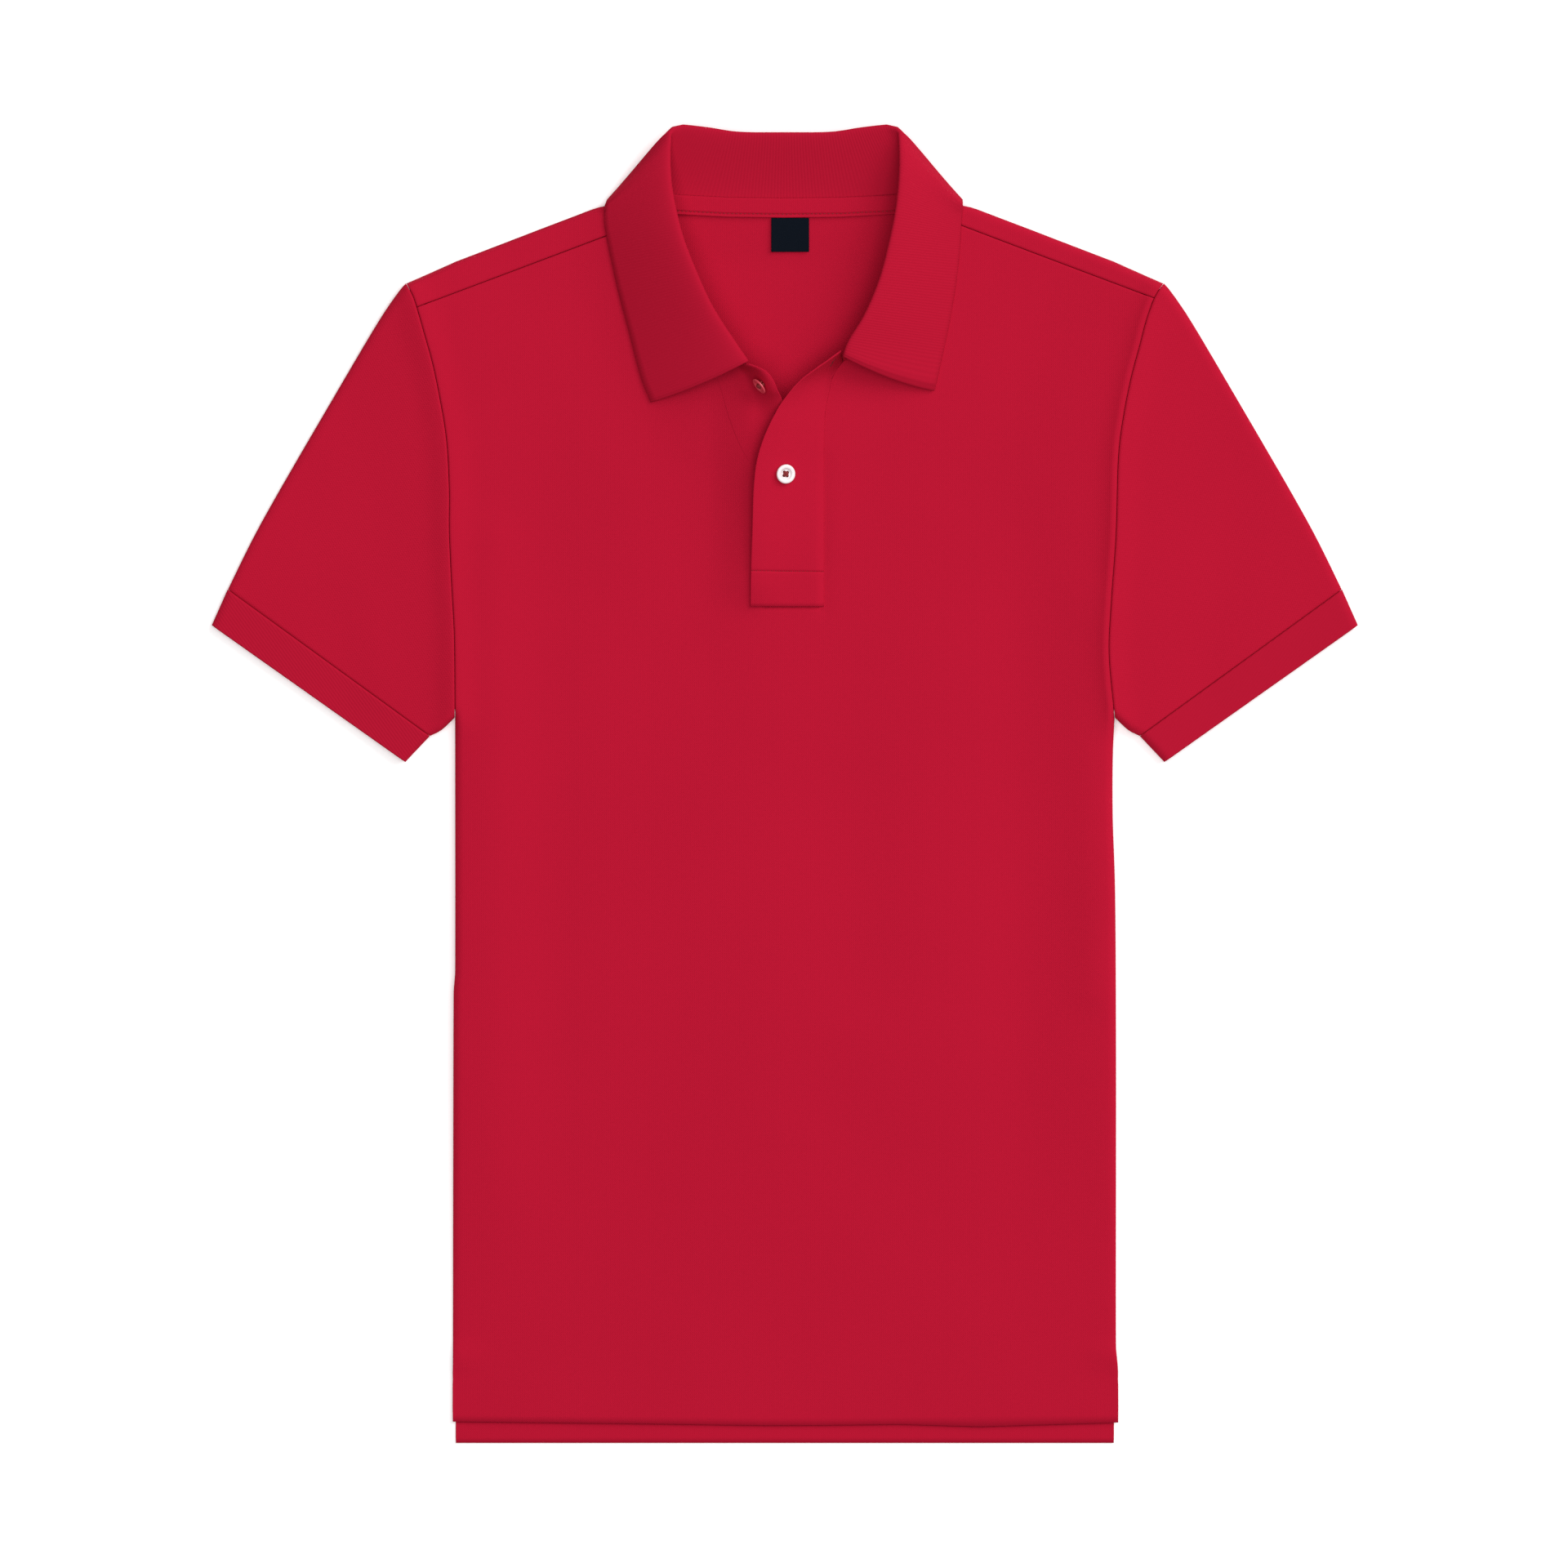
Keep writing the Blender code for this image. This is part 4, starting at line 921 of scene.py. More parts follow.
@dataclass
class SewnPiece:
    """A cloth piece that stands for one solid of the frame."""

    form: LaidForm
    node: str = "piece"
    finish: Finish = PIQUE
    slot: str = "red_pique"
    thickness: float = 0.8
    flat: Pair = (0.1, 0.1)      # the cut, in metres
    area: float = 0.01
    held: str = "laid"
    rests_on: Names = ()

    def shell(self) -> Shell:
        """The sheet's shell."""
        raise NotImplementedError

    def sheet_round(self, middle: Array, chart: Array) -> Shell:
        """Shell of a sheet, given by a grid of points on its middle."""
        outward = grid_directions(middle)
        return Shell(middle + outward * self.thickness / 2, outward, self.thickness, chart)

    def level_sheet(self, face: Array) -> Shell:
        """Shell of a sheet that faces straight up, given by a grid of points on its face."""
        return Shell(face, np.broadcast_to((0.0, 0.0, 1.0), face.shape), self.thickness, face[:, :, :2])

    def dress(self) -> Object:
        """Build the piece and put it in place of its solid.

        Returns:
            The piece's object.
        """
        piece = self.shell().build(f"cloth_{self.node}", self.finish)
        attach(piece, BODY)
        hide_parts(self.node)
        LOG.info("%s: %d faces", piece.name, len(piece.data.polygons))
        return piece


@dataclass
class FrontPanel(SewnPiece):
    """Front panel: a neckline above, a slit for the plackets, both sides down to the hem."""

    node: str = "front"
    flat: Pair = (0.43, 0.71)
    area: float = 0.252
    rests_on: Names = ("cloth_back",)
    slit_rows: int = 62          # from the shoulder seam to the slit's bottom
    near: Row = (0.001, 0.003, 0.006, 0.010)    # shares of closer rows at the seam
    slit_drop: float = 3.0       # how far below the slit its last row meets the armhole
    arm_rows: int = 18           # from there to the underarm
    body_rows: int = 108
    vent_rows: int = 9
    hem_rows: int = 6
    hem_ends: Pair = (-371.0, -372.8)   # y of the hem at the side and at the middle
    fold_columns: int = 8
    plain_columns: int = 46
    bridge_columns: int = 13
    welt: tuple[float, float, float] = (3.0, -0.7, 2.2)     # beside the right armhole

    def grooves(self) -> tuple[Groove, ...]:
        """Seams round the panel, and the welt beside the right armhole."""
        inside, depth, width = self.welt
        return (*ARM_GROOVES, Groove(ARM_SEAMS[Side.RIGHT] - (inside, 0.0), depth, width), *SHOULDER_GROOVES)

    def ends(self, side: Side) -> tuple[Array, Array]:
        """Both ends of the panel's rows on one side.

        Args:
            side: The side of the shirt.

        Returns:
            x, y at the outer edge and at the slit's edge, as distances from the middle.
        """
        seam_outer, seam_inner = (y - HALF_GAP for y in SHOULDER_SEAM[side])
        arm = ARM_LINES[side] - (HALF_GAP, 0.0)
        lower, upper = below(arm, SLIT_BOTTOM_Y - self.slit_drop, 1.0), below(arm, seam_outer)
        upper = np.vstack((upper[upper[:, 1] >= SLIT_BOTTOM_Y], lower[0]))
        opening = np.vstack((below(NECK_CURVES[side], seam_inner), SLIT_CURVES[side][1:]))
        shares = shares_with(self.slit_rows, self.near)
        outer, inner = at_shares(upper, shares), at_shares(opening + (SLIT_ROOM[side], 0.0), shares)
        inner[-1] -= (0.0, HALF_GAP)
        foot = inner[-1].copy()
        steps = np.linspace(0.0, 1.0, self.arm_rows + 1)[1:]
        outer = np.vstack((outer, at_shares(lower, steps)))
        outer[-1] = SIDE_FOLD[side][0]
        inner = np.vstack((inner, np.column_stack((np.full(len(steps), foot[0]),
                                                   mix(foot[1], UNDERARM_Y, steps)))))
        counts = (self.body_rows, self.vent_rows, self.hem_rows)
        outer_y, inner_y = (descend((UNDERARM_Y, *VENT_EASE, hem), counts) for hem in self.hem_ends)
        return (np.vstack((outer, np.column_stack((x_at(SIDE_CURVES[side], outer_y), outer_y)))),
                np.vstack((inner, np.column_stack((np.full(len(inner_y), foot[0]), inner_y)))))

    def half_grid(self, side: Side) -> Array:
        """Grid of x, y places of one half, from its outer edge to the slit.

        Args:
            side: The side of the shirt.

        Returns:
            Rows by columns by 2.
        """
        reach, rows = self.form.fold_reach, []
        for start, end in zip(*self.ends(side)):
            span = np.linalg.norm(end - start)
            plain = reach + paced(span - reach, self.plain_columns, False, True)[1:]
            steps = np.concatenate((fold_steps(reach, self.fold_columns), plain)) / span
            rows.append(mix(start, end, steps[:, None]))
        grid = np.array(rows) * (side.value, 1.0)
        grid[-1, :, 1] = np.interp(grid[-1, :, 0], *np.transpose(FRONT_HEM))
        return grid

    def shell(self) -> Shell:
        """The front's shell, open at the neckline and the slit.

        Returns:
            The shell.
        """
        left, right = self.half_grid(Side.LEFT), self.half_grid(Side.RIGHT)[:, ::-1]
        shares = np.linspace(0.0, 1.0, self.bridge_columns + 2)[1:-1]
        bridge = np.stack([mix(left[:, -1], right[:, 0], share) for share in shares], axis=1)
        places = np.concatenate((left, bridge, right), axis=1)
        points, outward = self.form.surface(Layer.UPPER, places, BODY_FOLDS, grooves=self.grooves())
        kept = np.ones((places.shape[0] - 1, places.shape[1] - 1), bool)
        open_rows = int(np.sum(left[:, -1, 1] > SLIT_BOTTOM_Y - SEAM_GAP)) - 1
        kept[:open_rows, left.shape[1] - 1:left.shape[1] + self.bridge_columns] = False
        return Shell(points, outward, self.thickness, places, kept, flush=LEFT_SLIT)


@dataclass
class BackPanel(SewnPiece):
    """Back panel: from the shoulder seams on the front, over the shoulders, down to its tail."""

    node: str = "back"
    flat: Pair = (0.44, 0.77)
    area: float = 0.283
    fold_columns: int = 8
    outer_columns: int = 32
    neck_columns: int = 26
    arm_rows: int = 76
    body_rows: int = 96
    vent_rows: int = 9
    tail_rows: int = 12
    wrap_rows: int = 12          # from the shoulder seam on the front up to the fold
    wrap_pace: float = 1.3       # above 1 they lie closer beside the seam
    floor: float = 0.02          # lowest height of the outside

    def columns(self, outer: float) -> Array:
        """Distances from the middle of a row's columns, from the edge to the middle.

        Args:
            outer: Distance of the row's edge from the middle.

        Returns:
            One distance for each column.
        """
        reach = self.form.fold_reach
        stops = (outer - reach, TOP_FOLD[0][0] + HALF_GAP, 0.0)
        return np.concatenate((outer - fold_steps(reach, self.fold_columns),
                               descend(stops, (self.outer_columns, self.neck_columns))))

    def edge_x(self, side: Side, y: float) -> float:
        """Distance of the back's edge from the middle: the armhole, the side fold, the tail.

        Args:
            side: The side of the shirt.
            y: Height on the shirt.

        Returns:
            The distance.
        """
        if y > UNDERARM_Y:
            arm = ARM_LINES[side]
            travelled = lengths(arm)
            share = x_at(np.column_stack((travelled, arm[:, 1])), y) / travelled[-1]
            return float(x_at(arm, y) - HALF_GAP + under_shift(share))
        return float(mix(x_at(SIDE_CURVES[side], y), BACK_TAIL_X, vent_share(y)))

    def under_half(self, side: Side) -> Array:
        """Grid of x, y places of one half below the shoulder fold.

        Args:
            side: The side of the shirt.

        Returns:
            Rows by columns by 2.
        """
        top = SHOULDER_TIP[1]
        levels = np.concatenate((
            top - paced(top - UNDERARM_Y, self.arm_rows, True, False),
            descend((UNDERARM_Y, *VENT_EASE, BACK_HEM_Y), (self.body_rows, self.vent_rows, self.tail_rows))))
        crest_x = self.columns(SHOULDER_TIP[0] - HALF_GAP)
        shoulder, neck = np.transpose(TOP_FOLD[:SHOULDER_POINTS]), np.transpose(BACK_NECK[::-1])
        crest = np.where(crest_x > TOP_FOLD[0][0], np.interp(crest_x, *shoulder),
                         np.interp(crest_x, *neck) - HALF_GAP)
        return np.array([np.column_stack((side.value * self.columns(self.edge_x(side, level)), mix(
            crest, BACK_HEM_Y, (top - level) / (top - BACK_HEM_Y)))) for level in levels])

    def wrap_half(self, side: Side) -> Array:
        """Grid of x, y places of the strip from the shoulder seam up to the fold.

        Args:
            side: The side of the shirt.

        Returns:
            Rows by columns by 2.
        """
        crest_x = self.columns(SHOULDER_TIP[0] - HALF_GAP)[:self.fold_columns + self.outer_columns + 1]
        shares = (crest_x[0] - crest_x) / (crest_x[0] - crest_x[-1])
        tips, rows = (SHOULDER_TIP[1], TOP_FOLD[0][1]), []
        bowed = np.interp(crest_x, *np.transpose(TOP_FOLD[:SHOULDER_POINTS])) - mix(*tips, shares)
        for drop in 1.0 - np.linspace(0.0, 1.0, self.wrap_rows + 1)[:-1] ** self.wrap_pace:
            outer, inner = (mix(tip, seam + HALF_GAP, drop) for tip, seam in zip(tips, SHOULDER_SEAM[side]))
            start = np.array((x_at(ARM_LINES[side], outer) - HALF_GAP, outer))
            end = np.array((x_at(NECK_CURVES[side], inner) + HALF_GAP, inner))
            row = mix(start, end, shares[:, None])
            row[:, 1] += bowed * (1.0 - drop)
            rows.append(row * (side.value, 1.0))
        return np.array(rows)

    def shell(self) -> Shell:
        """The back's shell, from both shoulder seams to the tail.

        Returns:
            The shell.
        """
        under, wrap = ([half(side) for side in Side] for half in (self.under_half, self.wrap_half))
        under_places = np.concatenate((under[0], under[1][:, -2::-1]), axis=1)
        blank = np.zeros((wrap[0].shape[0], under_places.shape[1] - 2 * wrap[0].shape[1], 2))
        wrap_places = np.concatenate((wrap[0], blank, wrap[1][:, ::-1]), axis=1)
        lower, lower_out = self.form.surface(Layer.UNDER, under_places, BODY_FOLDS, grooves=ARM_GROOVES)
        upper, upper_out = self.form.surface(Layer.UPPER, wrap_places, BODY_FOLDS,
                                             grooves=ARM_GROOVES + SHOULDER_GROOVES)
        lower[:, :, 2] = np.maximum(lower[:, :, 2], self.floor)
        points, outward = np.concatenate((upper, lower)), np.concatenate((upper_out, lower_out))
        kept = np.ones((points.shape[0] - 1, points.shape[1] - 1), bool)
        strip = wrap[0].shape[1] - 1
        kept[:wrap[0].shape[0], strip:-strip] = False
        return Shell(points, outward, self.thickness, np.concatenate((wrap_places, under_places)), kept)


@dataclass
class Sleeve(SewnPiece):
    """Set-in sleeve: a flattened tube from the armhole to the cuff's seam."""

    side: Side = Side.LEFT
    flat: Pair = (0.50, 0.165)
    area: float = 0.0385
    rests_on: Names = ("cloth_back",)
    sections: int = 40
    near: Row = (0.003, 0.008, 0.014, 0.983, 0.990, 0.996)  # shares of closer sections
    across: int = 76
    fold_pace: float = 0.75      # how much closer the columns lie at both folds
    fold_spacing: Pair = (5.0, 3.0)     # of points along the top fold and the underarm
    welt: float = 0.0            # height of the welt beside the armhole
    welt_place: Pair = (1.7, 0.9)   # its distance to the right of it, its width
    raised: float = 0.0
    chart_turn: float = -36.0    # degrees by which the knit's columns turn, so as to run down the sleeve

    def section_shares(self) -> Array:
        """Shares of the way across, from the top fold to the underarm, closer at both folds."""
        even = np.linspace(0.0, 1.0, self.across + 1)
        return mix(even, (1.0 - np.cos(even * math.pi)) / 2, self.fold_pace)

    def places(self, shift: float = 0.0) -> Array:
        """Places of one layer: sections by points across, as distances from the middle.

        Args:
            shift: 1 for the under layer, whose seams lie further out.

        Returns:
            Rows of x, y.
        """
        shares, down = self.section_shares(), shares_with(self.sections, self.near)
        armhole = at_shares(ARM_LINES[self.side], shares) + (HALF_GAP, 0.0)
        opening = at_shares(CUFF_SEAM - SLANT * HALF_GAP, shares)
        top = curve_through([tuple(armhole[0]), *TOP_FOLD[SHOULDER_POINTS:-2], tuple(opening[0])],
                            self.fold_spacing[0])
        under = curve_through([tuple(armhole[-1]), UNDER_FOLD[1], tuple(opening[-1])], self.fold_spacing[1])
        across, rows = shares[:, None], []
        for step, fold, arm in zip(down, at_shares(top, down), at_shares(under, down)):
            straight = mix(armhole, opening, step) + mix(fold, arm, across)
            corners = mix(mix(armhole[0], opening[0], step), mix(armhole[-1], opening[-1], step), across)
            way = mix(np.array((1.0, 0.0)), SLANT, step)
            rows.append(straight - corners + shift * under_shift(across) * way)
        return np.array(rows)

    def grooves(self) -> tuple[Groove, ...]:
        """The armhole seam, the cuff seam, and the welt that stands up beside the armhole."""
        arm, (aside, width) = ARM_SEAMS[self.side], self.welt_place
        return (Groove(arm), CUFF_GROOVES[self.side], Groove(arm + (aside, 0.0), -self.welt, width))

    def shell(self) -> Shell:
        """The piece's shell, a ring of both layers.

        Returns:
            The shell.
        """
        grid = self.places() * (self.side.value, 1.0)
        under = (self.places(1.0) * (self.side.value, 1.0))[:, -2:0:-1]
        layers = (self.form.surface(Layer.UPPER, grid, SLEEVE_FOLDS, self.raised, self.grooves()),
                  self.form.surface(Layer.UNDER, under, SLEEVE_FOLDS, self.raised))
        points, outward = (np.concatenate(parts, axis=1) for parts in zip(*layers))
        angle = self.side.value * math.radians(self.chart_turn)
        turn = np.array(((math.cos(angle), -math.sin(angle)), (math.sin(angle), math.cos(angle))))
        return Shell(points, outward, self.thickness, np.concatenate((grid, under), axis=1) @ turn, ring=True)


@dataclass
class Cuff(Sleeve):
    """Knitted band: a short flattened tube on the end of the sleeve, a little higher than it."""

    finish: Finish = RIB
    slot: str = "red_rib"
    thickness: float = 1.1
    flat: Pair = (0.30, 0.024)
    area: float = 0.0068
    rests_on: Names = ()
    sections: int = 9
    near: Row = (0.015, 0.035, 0.06, 0.97)
    raised: float = 0.5

    def places(self, shift: float = 0.0) -> Array:
        """Places of one layer, from the seam to the open edge.

        Args:
            shift: 1 for the under layer, whose seam lies further out.

        Returns:
            Rows of x, y, as distances from the middle.
        """
        shares = self.section_shares()
        seam = at_shares(CUFF_SEAM + SLANT * HALF_GAP, shares) + shift * under_shift(shares)[:, None] * SLANT
        edge = at_shares(CUFF_EDGE, shares)
        return np.array([mix(seam, edge, step) for step in shares_with(self.sections, self.near)])

    def grooves(self) -> tuple[Groove, ...]:
        """The cuff seam."""
        return (CUFF_GROOVES[self.side],)


def bezier(corners: tuple[Array, ...], steps: int, first: int = 0) -> list[Array]:
    """Points of a cubic curve given by four corners, from one step on.

    Args:
        corners: Both ends and the two corners between them.
        steps: How many steps the whole curve has.
        first: The first step that is wanted.

    Returns:
        The points.
    """
    start, leave, arrive, end = corners
    return [start * (1 - t) ** 3 + 3 * leave * t * (1 - t) ** 2 + 3 * arrive * t * t * (1 - t) + end * t ** 3
            for t in (step / steps for step in range(first, steps + 1))]


@dataclass
class Collar(SewnPiece):
    """Flat knitted collar: one strip sewn to the neckline, standing up, rolled over and lying down."""

    node: str = "collar"
    finish: Finish = RIB
    slot: str = "red_rib"
    thickness: float = 1.2
    flat: Pair = (0.48, 0.085)
    area: float = 0.0335
    held: str = "folded"
    rests_on: Names = ("cloth_front", "cloth_back")
    spacing: float = 3.2
    seam_gap: float = 0.65
    leaf_room: float = 0.1       # between the leaf's edge and the front
    turn_stops: Pair = (80.0, 90.0)     # turns at which the seam goes over to the back
    end_sag: Pair = (3.8, 5.2)   # how far each front end's edge bows down
    sag_y: Pair = (252.0, 226.0)
    stand_pull: float = 0.35     # how far the stand's curve runs on level from its seam
    leaf_pull: float = 0.55      # the same for the leaf, from its edge
    bulge: float = 0.7           # how high the leaf keeps beside the roll, in bends
    bulge_share: Pair = (0.5, -0.12)    # how much of it shows, and its change by side
    floor: float = 0.05          # lowest height of the collar's underside
    stand_steps: int = 14
    leaf_steps: int = 24

    def height(self, layer: Layer, x: float, y: float) -> float:
        """Height of the body's outer face at a place."""
        return float(self.form.surface(layer, np.array(((x, y),)), BODY_FOLDS)[0][0, 2])

    def rows(self) -> Array:
        """Sections from the left front end round the back to the right front end.

        Returns:
            One row of numbers for each section, as section() reads them.
        """
        rows, half_wall = [], self.thickness / 2
        for side in Side:
            half = []
            for seam_x, seam_y, roll_x, roll_y, roll_z, edge_x, edge_y, edge_z, *bend in (
                    COLLAR_FRONT[side] + COLLAR_BACK):
                seam_x, roll_x, edge_x = (side.value * x for x in (seam_x, roll_x, edge_x))
                top, low = (self.height(layer, seam_x, seam_y) for layer in Layer)
                seam_z = low + half_wall
                if bend[0] < self.turn_stops[0]:
                    seam_z = top - half_wall
                    edge_z += self.height(Layer.UPPER, edge_x, edge_y) + self.leaf_room + half_wall
                elif bend[0] < self.turn_stops[1]:
                    seam_z = (top + low) / 2
                half.append([seam_x, seam_y, seam_z, edge_x, edge_y, edge_z, roll_x, roll_y, roll_z,
                             *bend, side.value])
            half[-1][-1] = 0.0
            rows.extend(half if side is Side.LEFT else half[-2::-1])
        return curve_through(rows, self.spacing)

    def section(self, row: Array) -> Array:
        """Middle points of one section: up the stand, round the roll, down the leaf.

        Args:
            row: Seam, leaf edge and roll points, then the roll's turn, its bend and the side.

        Returns:
            The section's points, from the seam to the leaf's edge.
        """
        seam, edge, roll = row[0:3], row[3:6], row[6:9]
        turn, bend, side = math.radians(row[9]), row[10], row[11]
        out = np.array((side * abs(roll[1] - edge[1]), abs(edge[0] - roll[0]), 0.0))
        out /= max(np.linalg.norm(out), 1.0)
        facing = out * math.sin(turn) + np.array((0.0, 0.0, math.cos(turn)))
        inner = (seam - roll) * (1.0, 1.0, 0.0)
        start = seam - unit(inner) * self.seam_gap
        stand = bezier((start, start - inner * self.stand_pull, roll - facing * bend, roll), self.stand_steps)
        hang = edge - (edge - roll) * (1.0, 1.0, 0.0) * self.leaf_pull
        hang[1] -= mix(*self.end_sag, (side + 1.0) / 2) * ramp(edge[1], *self.sag_y)
        if turn < math.pi / 2:
            share, change = self.bulge_share
            hang[2] = mix(edge[2], roll[2] + bend * self.bulge * math.cos(turn), share + change * side)
        section = np.array(stand + bezier((roll, roll + facing * bend, hang, edge), self.leaf_steps, 1))
        section[:, 2] = np.maximum(section[:, 2], self.thickness / 2 + self.floor)
        return section

    def shell(self) -> Shell:
        """The collar's shell, from end to end."""
        middle = np.array([self.section(row) for row in self.rows()])
        return self.sheet_round(middle, grid_chart(middle))


@dataclass
class Placket(SewnPiece):
    """A placket strip in the front's slit; its free edge rises towards the neck."""

    table: Table = PLACKET_TOP
    lift: float = 0.80           # middle of the strip above the front's outer face
    seam_width: float = 3.0      # over which it goes down to its seam
    curl: float = 1.5            # power of the share across by which the free edge rises
    box_y: float = 123.7         # height of the line sewn across the strip's foot
    box_slope: float = 0.012     # how far that line falls to the right, mm per mm
    box_depth: float = 0.6
    box_width: float = 0.6
    box_room: float = 2.0        # this near the line, closer rows take the place of even ones
    box_steps: Row = (0.2, 0.45, 0.75, 1.1, 1.6)
    box_ends: Pair = (-19.0, 21.8)
    box_points: int = 18
    box_sink: float = 0.05       # how far its thread is pressed in
    hole_start: Pair = (26.2, 243.0)    # end of the worked button hole
    hole_step: Pair = (0.5, 0.9)
    hole_points: int = 5
    hole_gap: float = 0.02
    near: Row = (0.012, 0.03, 0.97, 0.988)  # shares of closer columns
    columns: int = 26
    spacing: float = 2.4
    seat_grid: tuple[int, float] = (60, 1.5)    # columns and spacing on which seats are looked up

    def rows(self, spacing: float) -> Array:
        """The table's rows on smooth curves, closer beside the line sewn across the strip.

        Args:
            spacing: About how far apart the rows lie.

        Returns:
            Rows like the table's.
        """
        rows = curve_through(self.table, spacing)
        close = np.array(self.box_steps)
        close = self.box_y + np.concatenate((-close[::-1], (0.0,), close))
        seam_y = np.sort(np.concatenate((rows[np.abs(rows[:, 1] - self.box_y) > self.box_room, 1], close)))
        return np.column_stack([np.interp(seam_y, rows[:, 1], column) for column in rows.T])

    def rise(self, shares: Array) -> Array:
        """How much of the free edge's rise is reached at shares of the way across."""
        return shares ** self.curl

    def middle(self, columns: int, spacing: float) -> Array:
        """Middle points: rows up the strip, columns from its seam to its free edge.

        Args:
            columns: How many even steps lie across the strip.
            spacing: About how far apart the rows lie.

        Returns:
            Rows by columns by 3.
        """
        rows, shares = self.rows(spacing), shares_with(columns, self.near)
        places = mix(rows[:, None, 0:2], rows[:, None, 2:4], shares[None, :, None])
        rise = rows[:, 4:5] * self.rise(shares)[None]
        level = self.form.upper(places.reshape(-1, 2)).reshape(places.shape[:2])
        return np.concatenate((places, (level + self.offset(places) + rise)[:, :, None]), axis=2)

    def offset(self, places: Array) -> Array:
        """Height of the strip's middle over the front's outer face.

        Args:
            places: Rows by columns by 2 or 3.

        Returns:
            A height for each place.
        """
        x, y = places[:, :, 0], places[:, :, 1]
        drawn = self.box_depth * bell(y - self.box_y + self.box_slope * x, self.box_width)
        return self.lift * smooth(np.abs(x - x[:, :1]) / self.seam_width) - drawn

    def shell(self) -> Shell:
        """The strip's shell."""
        middle = self.middle(self.columns, self.spacing)
        return self.sheet_round(middle, middle[:, :, :2])

    def seat(self, target: Pair, gap: float) -> tuple[Array, Array]:
        """Find where a button or a stitch sits on the strip.

        Args:
            target: x, y of its middle.
            gap: Room between it and the strip.

        Returns:
            The seat and the way it faces.
        """
        middle = self.middle(*self.seat_grid)
        directions = grid_directions(middle)
        directions *= np.sign(directions[:, :, 2:3])
        gaps = np.linalg.norm(middle[:, :, :2] - np.array(target), axis=2)
        place = np.unravel_index(np.argmin(gaps), gaps.shape)
        facing = unit(directions[place])
        return middle[place] + facing * (self.thickness / 2 + gap), facing

    def foot_line(self) -> Array:
        """Points of the line sewn across the strip's foot, pressed into it a little."""
        return np.array([self.seat((x, self.box_y - self.box_slope * x), -self.box_sink)[0]
                         for x in np.linspace(*self.box_ends, self.box_points)])

    def button_hole(self) -> Array:
        """Points of the worked button hole by the neck."""
        steps = np.multiply.outer(range(self.hole_points), self.hole_step)
        return np.array([self.seat(place, self.hole_gap)[0] for place in np.add(self.hole_start, steps)])


@dataclass
class UnderPlacket(Placket):
    """The under strip: flush with the front beside its seam, then down below the top strip."""

    curl: float = 3.0
    drop: float = 2.3
    sink: float = 9.0            # width over which it goes down
    flush_y: Pair = (172.0, 182.0)
    level_y: float = 196.0       # above this the strip no longer goes down below the top strip
    steep: Pair = (0.50, 0.95)   # shares of the way across between which it stands up
    stood: float = 0.94          # how much of the rise it has made there

    def rows(self, spacing: float) -> Array:
        """The table's rows, started on the slit's edge.

        Args:
            spacing: About how far apart the rows lie.

        Returns:
            Rows like the table's.
        """
        rows = curve_through(self.table, spacing)
        rows[:, 0] = -x_at(SLIT_CURVES[Side.LEFT], rows[:, 1]) + FLUSH_GAP / 2
        return rows

    def rise(self, shares: Array) -> Array:
        """How much of the free edge's rise is reached at shares of the way across."""
        return mix(super().rise(shares), ramp(shares, *self.steep), self.stood)

    def offset(self, places: Array) -> Array:
        """Height of the strip's middle over the front's outer face.

        Args:
            places: Rows by columns by 2 or 3.

        Returns:
            A height for each place.
        """
        x, y = places[:, :, 0], places[:, :, 1]
        down = smooth((x - x[:, :1]) / self.sink) * (1.0 - ramp(y, self.flush_y[1], self.level_y))
        return -mix(self.drop, mix(self.thickness / 2, self.drop, down), ramp(y, *self.flush_y))

    def shell(self) -> Shell:
        """The strip's shell, its face running on from the front's.

        Returns:
            The shell.
        """
        made = super().shell()
        made.flush = LEFT_SLIT
        return made


@dataclass
class NeckTape(SewnPiece):
    """Tape over the back neck seam, on the inside."""

    node: str = "neck_tape"
    flat: Pair = (0.149, 0.0115)
    area: float = 0.00165
    rests_on: Names = ("cloth_back", "cloth_collar")
    half_length: float = 74.0
    edges: Pair = (-6.7, 4.4)    # across the back neck seam
    floor: float = 3.65
    line: float = 1.9            # from the lower edge to the sewn line
    line_depth: float = 0.6
    line_width: float = 0.38
    line_steps: Row = (0.15, 0.35, 0.6, 0.9)    # closer rows beside the line
    line_points: int = 60
    edge_steps: Row = (0.0, 0.2, 0.5)
    even_start: float = 1.6      # how far above the line the even rows start
    even_rows: int = 7
    columns: int = 75
    height: float = 1.0          # of the tape's face above its floor
    thread_height: float = 0.85

    def seam_y(self, x: Array) -> Array:
        """y of the back neck seam."""
        return np.interp(np.abs(x), *np.transpose(BACK_NECK[::-1]))

    def sewn_line(self) -> Array:
        """Points of the line sewn along the tape, pressed into it a little.

        Returns:
            Rows of x, y, z.
        """
        x = np.linspace(-self.half_length, self.half_length, self.line_points)
        y = self.seam_y(x) + self.edges[0] + self.line
        return np.column_stack((x, y, np.full(len(x), self.floor + self.thread_height)))

    def shell(self) -> Shell:
        """The tape's shell, drawn in along its sewn line.

        Returns:
            The shell.
        """
        close, width = np.array(self.line_steps), self.edges[1] - self.edges[0]
        steps = np.concatenate((self.edge_steps, self.line - close[::-1], (self.line,), self.line + close,
                                np.linspace(self.line + self.even_start, width, self.even_rows)))
        x, step = np.meshgrid(np.linspace(-self.half_length, self.half_length, self.columns), steps,
                              indexing="ij")
        drawn = self.line_depth * bell(step - self.line, self.line_width)
        return self.level_sheet(np.stack((x, self.seam_y(x) + self.edges[0] + step,
                                          self.floor + self.height - drawn), axis=2))


